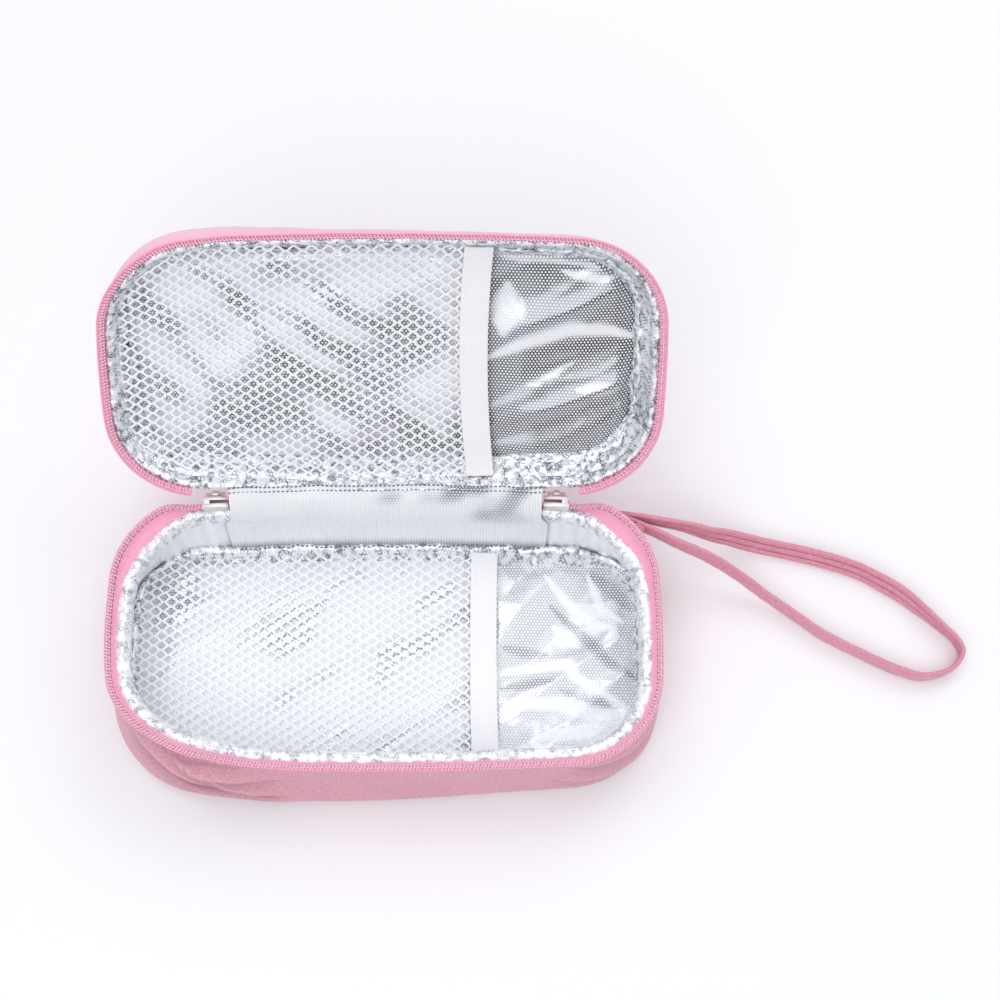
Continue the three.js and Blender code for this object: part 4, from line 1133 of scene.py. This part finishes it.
def stitch_row(name, rows, size):
    """One small bead, modelled once and copied along rows of places with its own points, in one mesh."""
    bead = added(bpy.ops.mesh.primitive_ico_sphere_add, subdivisions=1, radius=1.0)
    shape = points_of(bead) * size
    faces = np.array([tuple(p.vertices) for p in bead.data.polygons])
    bpy.data.objects.remove(bead)
    places = np.vstack(rows)
    along = np.vstack([np.gradient(row, axis=0) for row in rows])
    along /= np.linalg.norm(along, axis=1)[:, None]
    aside = np.cross(along, BEAD_TOP)
    aside /= np.linalg.norm(aside, axis=1)[:, None]
    turned = np.stack([along, aside, np.cross(aside, along)], axis=1)
    points = places[:, None, :] + shape @ turned
    copies = faces + len(shape) * np.arange(len(places))[:, None, None]
    mesh = bpy.data.meshes.new(name)
    mesh.from_pydata((points * MM).reshape(-1, 3).tolist(), [], copies.reshape(-1, 3).tolist())
    piece = linked(name, mesh)
    uv_map(piece)
    return smooth(piece, 80)


def ridge_line():
    length = np.arange(-RIDGE_HALF, RIDGE_HALF, RIDGE_PITCH)
    v = np.full_like(length, 0.5)
    offset, height = roll_shape(BASE)(length, v, *along_path(ROLL, v))
    return BASE.world(at_rim(length, offset - 0.5, height + 0.5))


sew(stitch_row("base_ridge_stitches", [ridge_line()], RIDGE_BEAD), "base", "silver_foil", GREY_THREAD)

# %% [markdown]
# ## Zip
# Each half of the zip is a woven tape with a nylon coil sewn along its free edge. The base's tape stands
# upright in the sliders and falls outwards past them. The coil is one long filament, wound in flat turns: a
# curve with a round bevel, turned into a mesh. Two rows of lock stitches hold it, one bead for each turn.

# %% Zip lines
TAPE_INSET, TAPE_THICK, TAPE_ROOT, CORNER_ROOT = 0.4, 0.6, 1.2, 2.6
TAPE_PAST = {"base": 0.5, "lid": 0.4}
TAPE_FOOT, TAPE_WIDE, TAPE_STEPS = 0.3, 6, (420, 8)
TWIST_FROM, TWIST_TO = 73.0, 87.0
BASE_FLARE, LID_FLARE = math.radians(45), math.radians(50)
BASE_REACH, TWIST_REACH, LID_REACH = 2.9, 1.6, 3.1


def zip_line(half, length):
    """Foot of the tape, its direction across [offset, height], and how far it reaches."""
    share = smooth_step(TWIST_FROM, TWIST_TO, from_rear(length))
    flare = BASE_FLARE * share if half is BASE else np.full_like(length, LID_FLARE)
    reach = BASE_REACH + TWIST_REACH * share if half is BASE else np.full_like(length, LID_REACH)
    inset = np.full_like(length, half.lip - TAPE_INSET)
    foot = np.column_stack([inset, half.rim + TAPE_FOOT + TAPE_FOOT * np.sin(flare)])
    return foot, np.column_stack([np.sin(flare), np.cos(flare)]), reach


def on_zip(half, length, along, aside):
    """A point on the tape: along it from its foot, and aside from its face."""
    foot, direction = zip_line(half, length)[:2]
    normal = np.column_stack([-direction[:, 1], direction[:, 0]])
    along = np.reshape(along, (-1, 1))
    inwards = np.array([[1.0, 0.1]]) if half is BASE else direction
    spot = foot + direction * np.maximum(along, 0) + inwards * np.minimum(along, 0)
    spot = spot + normal * np.reshape(aside, (-1, 1))
    return half.world(at_rim(length, spot[:, 0], spot[:, 1]))


def make_tape(half):
    def lay(u, v):
        length = half.zip_start + u * half.zip_span
        reach = zip_line(half, length)[2]
        ripple = 0.12 * soft_noise(length / 9, v * 2, half.seed + 29)
        root = TAPE_ROOT + (CORNER_ROOT * rear_corner(length) if half is BASE else 0.0)
        return on_zip(half, length, -root + v * (reach + root + TAPE_PAST[half.name]), ripple)

    piece = cloth(f"{half.name}_zip_tape_cloth", *TAPE_STEPS, lay,
                  lambda u, v: (u * half.zip_span, TAPE_WIDE * v))
    return thickened(piece, TAPE_THICK)


print("zip:", [round(half.zip_span) for half in HALVES], "mm along each rim")

# %% Zip coil
COIL_PITCH, COIL_STEPS = 1.3, 10
COIL_WIDE, COIL_DEEP, COIL_WIRE, COIL_LIFT = 0.85, 0.4, 0.48, 0.4
COIL_BACK = {"base": 0.1, "lid": 1.3}


def coil_middle(half, length):
    """How far the middle of the coil lies from the foot of the tape."""
    return zip_line(half, length)[2] - COIL_BACK[half.name]


def make_coil(half):
    turns = int(half.zip_span / COIL_PITCH)
    t = np.linspace(0, 1, turns * COIL_STEPS + 1)
    length, phase = half.zip_start + t * half.zip_span, 2 * np.pi * turns * t
    points = on_zip(half, length, coil_middle(half, length) + COIL_WIDE * np.cos(phase),
                    COIL_LIFT + COIL_DEEP * np.sin(phase))
    curve = bpy.data.curves.new(f"{half.name}_zip_coil", "CURVE")
    curve.dimensions = "3D"
    curve.bevel_depth = COIL_WIRE * MM
    curve.bevel_resolution = 0
    curve.use_fill_caps = True
    spline = curve.splines.new("POLY")
    spline.points.add(len(points) - 1)
    spline.points.foreach_set("co", np.column_stack([points * MM, np.ones(len(points))]).ravel())
    only(linked(f"{half.name}_zip_coil", curve))
    bpy.ops.object.convert(target="MESH")
    piece = bpy.context.object
    uv_map(piece)
    return smooth(piece, 80)


for half in HALVES:
    sew(make_tape(half), half.name, "pink_tape", TAPE, f"{half.name}_zip_tape")
    sew(make_coil(half), half.name, "pink_nylon", NYLON, f"{half.name}_zip_teeth")

# %% Lock stitches on the coil
LOCK_ROWS, LOCK_LIFT, LOCK_BEAD = (-0.55, 0.55), 0.3, (0.5, 0.36, 0.3)
TAPE_SEAM_PITCH, TAPE_SEAM_IN, TAPE_SEAM_BEAD = 2.2, 1.6, (0.95, 0.26, 0.18)


def stitch_lengths(half, pitch):
    count = int(half.zip_span / pitch)
    return half.zip_start + (np.arange(count) + 0.5) * half.zip_span / count


def zip_stitches(half):
    length = stitch_lengths(half, COIL_PITCH)
    top = LOCK_LIFT + COIL_DEEP + COIL_WIRE
    rows = [on_zip(half, length, coil_middle(half, length) + shift, top) for shift in LOCK_ROWS]
    return stitch_row(f"{half.name}_zip_stitches", rows, LOCK_BEAD)


def tape_seam(half):
    """The row where the coil is sewn down along its inner side, its stitches painted dark as the shade of the
    groove there.
    """
    length = stitch_lengths(half, TAPE_SEAM_PITCH)
    row = on_zip(half, length, coil_middle(half, length) - TAPE_SEAM_IN, TAPE_THICK / 2)
    return stitch_row(f"{half.name}_tape_seam", [row], TAPE_SEAM_BEAD)


for half in HALVES:
    sew(zip_stitches(half), half.name, "pink_tape", THREAD)
    sew(tape_seam(half), half.name, "pink_tape", SEAM_THREAD_SHADED)

# %% [markdown]
# ## Net pockets
# A knitted white net covers the left two thirds of each floor and is sewn into the seam ridge on three
# sides. It is modelled as the real thing: a hexagon is copied into a honeycomb by two Array modifiers, the
# cells outside the pocket are deleted, Wireframe leaves the strands, and the net is laid in the half with
# some slack.

# %% Pocket lines
POCKET_TUCK, NET_CLEAR = {"base": 2.2, "lid": 0.6}, {"base": 3.4, "lid": 3.5}
MOUTH_BOW, MOUTH_HALF = {"base": -0.8, "lid": -2.2}, 46.0


def pocket_fence(half):
    """The line on the seam ridge that the net is sewn to, as lengths and points."""
    lengths = np.linspace(0, LOOP, 600, endpoint=False)
    edge = half.inner(lengths, np.full_like(lengths, half.net_edge)) - POCKET_TUCK[half.name]
    return lengths, at_rim(lengths, edge, 0.0)[:, :2]


def pocket_ends(half, x):
    """Front and rear ends of the pocket at x."""
    fence = pocket_fence(half)[1]
    ends = []
    for side in (fence[fence[:, 1] < 0], fence[fence[:, 1] > 0]):
        side = side[np.argsort(side[:, 0])]
        ends.append(np.interp(x, side[:, 0], side[:, 1]))
    return ends


def net_height(half, x, y):
    front, rear = pocket_ends(half, x)
    depth = np.clip(4 * (y - front) * (rear - y) / (rear - front) ** 2, 0, 1)
    depth = depth * smooth_step(-98, -70, x)
    slack = 0.5 * soft_noise(x / 24, y / 24, half.seed + 31)
    slack = slack + 0.2 * soft_noise(x / 11, y / 11, half.seed + 33)
    resting = floor_height(half, x, y) * 0.5 + NET_CLEAR[half.name]
    return half.net_edge + (resting - half.net_edge + slack) * depth ** 0.6


def mouth_bow(half, y):
    return MOUTH_BOW[half.name] * (1 - (y / MOUTH_HALF) ** 2)


print("pocket mouths at x:", [half.mouth for half in HALVES])

# %% Net pockets
CELL_TALL, CELL_ROW, CELL_FLAT, STRAND, STRAND_FLAT = 3.9, 3.07, 0.5, 0.9, 0.4
CELLS_ALONG, CELLS_ACROSS, CELL_WELD = 28, 24, 0.02
NET_LEFT, NET_PAST_MOUTH, CELLS_IN_FRONT = -96, 0.6, 13.6


def honeycomb(half):
    """Flat hexagons over the whole pocket: two rows are drawn, then copied along both ways."""
    piece = added(bpy.ops.mesh.primitive_circle_add, vertices=6, radius=1.0, fill_type="NGON")
    piece.name = piece.data.name = f"{half.name}_net"
    corners = points_of(piece)
    tip = np.abs(corners[:, 1]) > 0.9
    corners[tip, 1] *= CELL_ROW - CELL_FLAT
    corners[~tip] = np.sign(corners[~tip]) * [CELL_TALL / 2, CELL_FLAT, 0]
    move_points(piece, corners)
    second_row = {"value": (CELL_TALL / 2, CELL_ROW, 0)}
    edit(piece, lambda: bpy.ops.mesh.duplicate_move(TRANSFORM_OT_translate=second_row))
    for count, shift in ((CELLS_ALONG, (CELL_TALL, 0, 0)), (CELLS_ACROSS, (0, 2 * CELL_ROW, 0))):
        add_modifier(piece, "ARRAY", count=count, use_relative_offset=False, use_constant_offset=True,
                     constant_offset_displace=shift)
    weld(piece, CELL_WELD)
    x, y, z = points_of(piece).T
    move_points(piece, np.column_stack([half.mouth + NET_PAST_MOUTH - y, x - CELLS_IN_FRONT * CELL_TALL, z]))
    return piece


def trim_to_fence(piece, half):
    """Deletes the cells whose middle lies outside the pocket."""
    lengths, fence = pocket_fence(half)
    middles = np.array([p.center[:2] for p in piece.data.polygons])
    nearest = np.argmin(((middles[:, None, :] - fence[None, :, :]) ** 2).sum(2), axis=1)
    gone = ((middles - fence[nearest]) * rim(lengths)[1][nearest]).sum(1) > 0
    edit(piece, lambda: bpy.ops.mesh.select_mode(type="FACE"),
         lambda: bpy.ops.mesh.select_all(action="DESELECT"))
    piece.data.polygons.foreach_set("select", gone)
    only(piece)
    bpy.ops.object.mode_set(mode="EDIT")
    bpy.ops.mesh.delete(type="FACE")
    bpy.ops.object.mode_set(mode="OBJECT")


def make_net(half):
    piece = honeycomb(half)
    trim_to_fence(piece, half)
    add_modifier(piece, "WIREFRAME", thickness=STRAND, use_even_offset=True, use_boundary=True)
    x, y, up = points_of(piece).T
    drift_x, drift_y = (0.5 * soft_noise(x / 18, y / 18, half.seed + k) for k in (35, 37))
    share = np.clip((x - NET_LEFT) / (half.mouth - NET_LEFT), 0, 1) ** 2
    moved = np.column_stack([x + drift_x + mouth_bow(half, y) * share, y + drift_y,
                             net_height(half, x, y) + up * STRAND_FLAT])
    set_uv(piece, x, y)
    move_points(piece, half.world(moved) * MM)
    return smooth(piece, 50)


for half in HALVES:
    net = sew(make_net(half), half.name, "white_net", WHITE_NET, f"{half.name}_pocket_net")

# %% [markdown]
# ## Pocket bindings
# The mouth of each net is bound with a plain white band, about a centimetre wide, folded over the net's
# edge and stitched down. It is a strip with a soft crown and a rounded fold, and a row of small stitches.

# %% Pocket bindings
BAND_WIDE, BAND_THICK, BAND_LONG, BAND_SEWN = 10.5, 1.1, 90.0, 0.088
BAND_EDGE, BAND_STEPS = 0.3, (14, 90)
BAND_STITCHES, BAND_STITCH_ROW, BAND_BEAD = 36, 0.16, (0.8, 0.2, 0.18)


def band_point(half, across, along):
    x = half.mouth + across * BAND_WIDE
    front, rear = pocket_ends(half, x)
    y = (front + rear) / 2 + along * (rear - front + 1.0) / 2
    lift = 0.8 + 0.5 * np.sin(np.pi * across) + 0.25 * soft_noise(y / 16, across, half.seed + 39)
    return np.column_stack([x + mouth_bow(half, y), y, net_height(half, np.minimum(x, half.mouth), y) + lift])


def make_binding(half):
    def lay(u, v):
        return half.world(band_point(half, u, 2 * v - 1))

    piece = cloth(f"{half.name}_binding", *BAND_STEPS, lay, lambda u, v: (BAND_WIDE * u, BAND_LONG * v))
    return thickened(piece, BAND_THICK, edge=BAND_EDGE)


def band_stitches(half):
    along = np.linspace(-0.97, 0.97, BAND_STITCHES)
    row = band_point(half, np.full_like(along, BAND_STITCH_ROW), along) + [0, 0, BAND_THICK / 2]
    return stitch_row(f"{half.name}_binding_stitches", [half.world(row)], BAND_BEAD)


for half in HALVES:
    band = sew(make_binding(half), half.name, "white_binding", WHITE_BAND, f"{half.name}_pocket_binding")
    sew(band_stitches(half), half.name, "white_binding", WHITE_NET)

# %% [markdown]
# ## Hinge
# Between the sliders there is no zip: a strip of rose cloth outside and a sheet of ribbed foil inside join
# the halves. The foil runs from the base's rear wall over the fold into the lid's hem. Cloth, foil and the
# foil's stitches are attached to neither half.

# %% Hinge
HINGE_HALF, HINGE_FOIL_HALF = 52.5, 63.0
HINGE_THICK, HINGE_STEPS = 0.4, (320, 24)
CLOTH_PATH = [(-0.5, BASE_TALL - 2.5), (0.2, BASE_TALL + 4.0), (0.9, HINGE_Z - 0.4), (1.6, HINGE_Z + 0.6),
              (2.5, HINGE_Z + 1.5)]
FOIL_PATH = [(-9.6, 8.0), (-8.8, 14.0), (-7.8, 20.0), (-7.0, 26.0), (-6.5, 32.0), (-6.2, 36.5), (-5.2, 40.0),
             (-3.6, 42.8), (-1.5, 45.2), (1.0, 47.3), (2.6, 48.8)]
SLIDER_ROOM = -2.8
CLOTH_WIDENS, FOIL_NARROWS = (0.72, 0.86), (0.56, 0.7)
FOIL_ROWS, FOIL_PITCH, FOIL_BEAD = [(1.1, 47.7), (2.4, 49.0)], 1.7, (0.66, 0.42, 0.3)


def hinge_strip(name, half_length, path, ripple, seed, widen, between, marks=None):
    """A strip along the rear rim, which widens by a length between two shares of its way up."""
    reach = run_along(path)[-1]

    def lay(u, v):
        length = (2 * u - 1) * (half_length + widen * smooth_step(*between, v))
        offset, height = along_path(path, v)
        ribs = 0.05 * np.sin(2 * np.pi * length / RIB_PITCH)
        slack = ripple * (soft_noise(length / 14, v * 2.0, seed) + ribs)
        return at_rim(length, offset + slack * np.sin(np.pi * v), height)

    piece = cloth(name, *HINGE_STEPS, lay, lambda u, v: (2 * half_length * u, reach * v), marks=marks)
    return thickened(piece, HINGE_THICK), reach


def foil_marks(u, v):
    """Painted shade in a crease along the foot, and painted shade between the dots at the right and along the
    top.
    """
    right = 1 - u
    patch = smooth_step(0.72, 0.82, right) * (1 - smooth_step(0.92, 0.97, right)) * smooth_step(0.5, 0.75, v)
    edge = smooth_step(0.36, 0.55, right) * (1 - smooth_step(0.94, 0.98, right)) * smooth_step(0.78, 0.92, v)
    uneven = np.clip(0.6 + 0.8 * soft_noise(u * 15 + 3 * v, v * 6, 55), 0, 1)
    return 0.9 * (1 - smooth_step(0.1, 0.26, v)) - 0.9 * np.maximum(patch, edge) * uneven


def foil_stitches():
    length = np.arange(-HINGE_FOIL_HALF + 2, HINGE_FOIL_HALF - 2, FOIL_PITCH)
    drift = 0.4 * soft_noise(length / 9, length * 0, 61)
    rows = [at_rim(length, offset + drift, height) for offset, height in FOIL_ROWS]
    return stitch_row("hinge_foil_stitches", rows, FOIL_BEAD)


hinge_cloth, reach = hinge_strip("hinge_cloth", HINGE_HALF, CLOTH_PATH, 0.3, 51,
                                 HINGE_FOIL_HALF - HINGE_HALF + SLIDER_ROOM, CLOTH_WIDENS)
sew(hinge_cloth, None, "rose_fabric", ROSE, "hinge_panel")
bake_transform(hinge_cloth)
hinge_foil, reach = hinge_strip("hinge_foil", HINGE_FOIL_HALF, FOIL_PATH, 0.5, 53, SLIDER_ROOM, FOIL_NARROWS,
                                foil_marks)
sew(hinge_foil, None, "silver_foil", RIBBED_FOIL, "hinge_liner")
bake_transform(hinge_foil)
foil_seam = sew(foil_stitches(), None, "silver_foil", GREY_THREAD)
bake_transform(foil_seam)

# %% [markdown]
# ## Zip hardware and strap anchor
# The sliders and pulls have the right shape in the frame, but cast metal has no sharp edges. Each is
# copied, its triangles are merged back into flat faces, and a bevel rounds the edges. The strap's sewn ends
# are made the same way, from the block in the frame, with a softer edge.

# %% Zip hardware and strap anchor
SLIDER_EDGE, PULL_EDGE, ANCHOR_EDGE = 0.18, 0.2, 0.6


def rounded_copy(node, name, width):
    piece = linked(name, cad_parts[node].data.copy())
    edit(piece, lambda: bpy.ops.mesh.remove_doubles(threshold=1e-6),
         lambda: bpy.ops.mesh.dissolve_limited(angle_limit=math.radians(2)))
    round_edges(piece, width, 40)
    uv_map(piece)
    return smooth(piece, 40)


for side in ("left", "right"):
    for kind, width in (("slider", SLIDER_EDGE), ("pull", PULL_EDGE)):
        node = f"{side}_{kind}"
        sew(rounded_copy(node, f"{node}_nickel", width), node, "nickel", NICKEL, node)
anchor = rounded_copy("strap_anchor", "strap_ends", ANCHOR_EDGE)
sew(anchor, "base", "strap_fabric", STRAP, "strap_anchor")

# %% [markdown]
# ## Floor and light
# The photograph is a bright product shot: a white table, one large soft light above and a little behind,
# and darker surroundings in front, which is what the lid's foil mirrors. The world is white above and grey
# towards the front, so that the film has something to show. The camera sees a plain background that is
# nearly white.

# %% Table
TABLE_SIDE = 6.0
TABLE_WHITES = (0.895, 0.895, 0.915), (0.905, 0.905, 0.925)

table = added(bpy.ops.mesh.primitive_plane_add, size=TABLE_SIDE, location=(0, 0, 0))
table.name = "table"
table_finish, table_tree, table_shader = new_finish("table_white", Roughness=0.7)
table_grain = noise(table_tree, add_node(table_tree, "TexCoord").outputs["Object"], 3.0)
feed(table_tree, table_shader, Base_Color=blended(table_tree, table_grain, *map(opaque, TABLE_WHITES)))
table.data.materials.append(table_finish)
table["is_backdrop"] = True
print("table:", TABLE_SIDE, "m")

# %% Surroundings
GLOW, SEEN = (0.95, 0.97, 1.0), (0.97, 0.97, 0.98)
DIM_BELOW, DIM_ABOVE = 0.42, 0.85

world = bpy.data.worlds.new("studio")
bpy.context.scene.world = world
world.use_nodes = True
sky = world.node_tree
sky.nodes.clear()
facing = add_node(sky, "SeparateXYZ", {0: add_node(sky, "TexCoord").outputs["Generated"]})
front = maths(sky, "SUBTRACT", maths(sky, "MULTIPLY", facing.outputs[1], -1.0), facing.outputs[2])
dark_front = remap(sky, front, 0.1, 0.5, 0.0, 0.84, interpolation_type="SMOOTHSTEP")
dark_side = remap(sky, facing.outputs[0], -0.16, 0.03, 0.12, 1.0, interpolation_type="SMOOTHSTEP")
mirrored = maths(sky, "SUBTRACT", 1.0, maths(sky, "MULTIPLY", dark_front, dark_side))
overhead = remap(sky, facing.outputs[2], 0.0, 1.0, DIM_BELOW, DIM_ABOVE)
rays = add_node(sky, "LightPath")
room = blended_value(sky, rays.outputs["Is Glossy Ray"], overhead, mirrored)
glow = add_node(sky, "Background", {0: opaque(GLOW), 1: room}).outputs[0]
seen = add_node(sky, "Background", {0: opaque(SEEN), 1: 1.0}).outputs[0]
shown = add_node(sky, "MixShader", {0: rays.outputs["Is Camera Ray"], 1: glow, 2: seen})
add_node(sky, "OutputWorld", {0: shown.outputs[0]})
print("surroundings:", len(sky.nodes), "nodes")

# %% Lamps
LAMPS = {
    # place, what it is aimed at, size, power
    "softbox_rear": ((0.6, 0.85, 1.15), (0.05, 0.05, 0.0), 1.0, 4.0),
    "softbox_front": ((-0.15, -0.75, 1.25), (0.0, 0.03, 0.03), 1.2, 6.5),
    "softbox_left": ((-0.33, 0.36, 1.3), (-0.05, 0.0, 0.0), 0.66, 1.8)}

for name, (place, target, size, power) in LAMPS.items():
    lamp = added(bpy.ops.object.light_add, type="AREA", location=place)
    lamp.name = name
    lamp.data.shape = "DISK"
    lamp.data.size = size
    lamp.data.energy = power
    lamp.rotation_euler = (Vector(target) - Vector(place)).to_track_quat("-Z", "Y").to_euler()
bpy.context.scene.view_settings.view_transform = "Standard"
print("lamps:", list(LAMPS))

# %% [markdown]
# ## Sizes
# Last, the boxes of the frame and of the dressed case are printed side by side, so that the cloth can be
# compared with the solids it stands for.

# %% Sizes
new_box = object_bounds()
for title, box in (("cad", cad_box), ("visual", new_box)):
    print(title, [[round(float(c), 4) for c in corner] for corner in box])
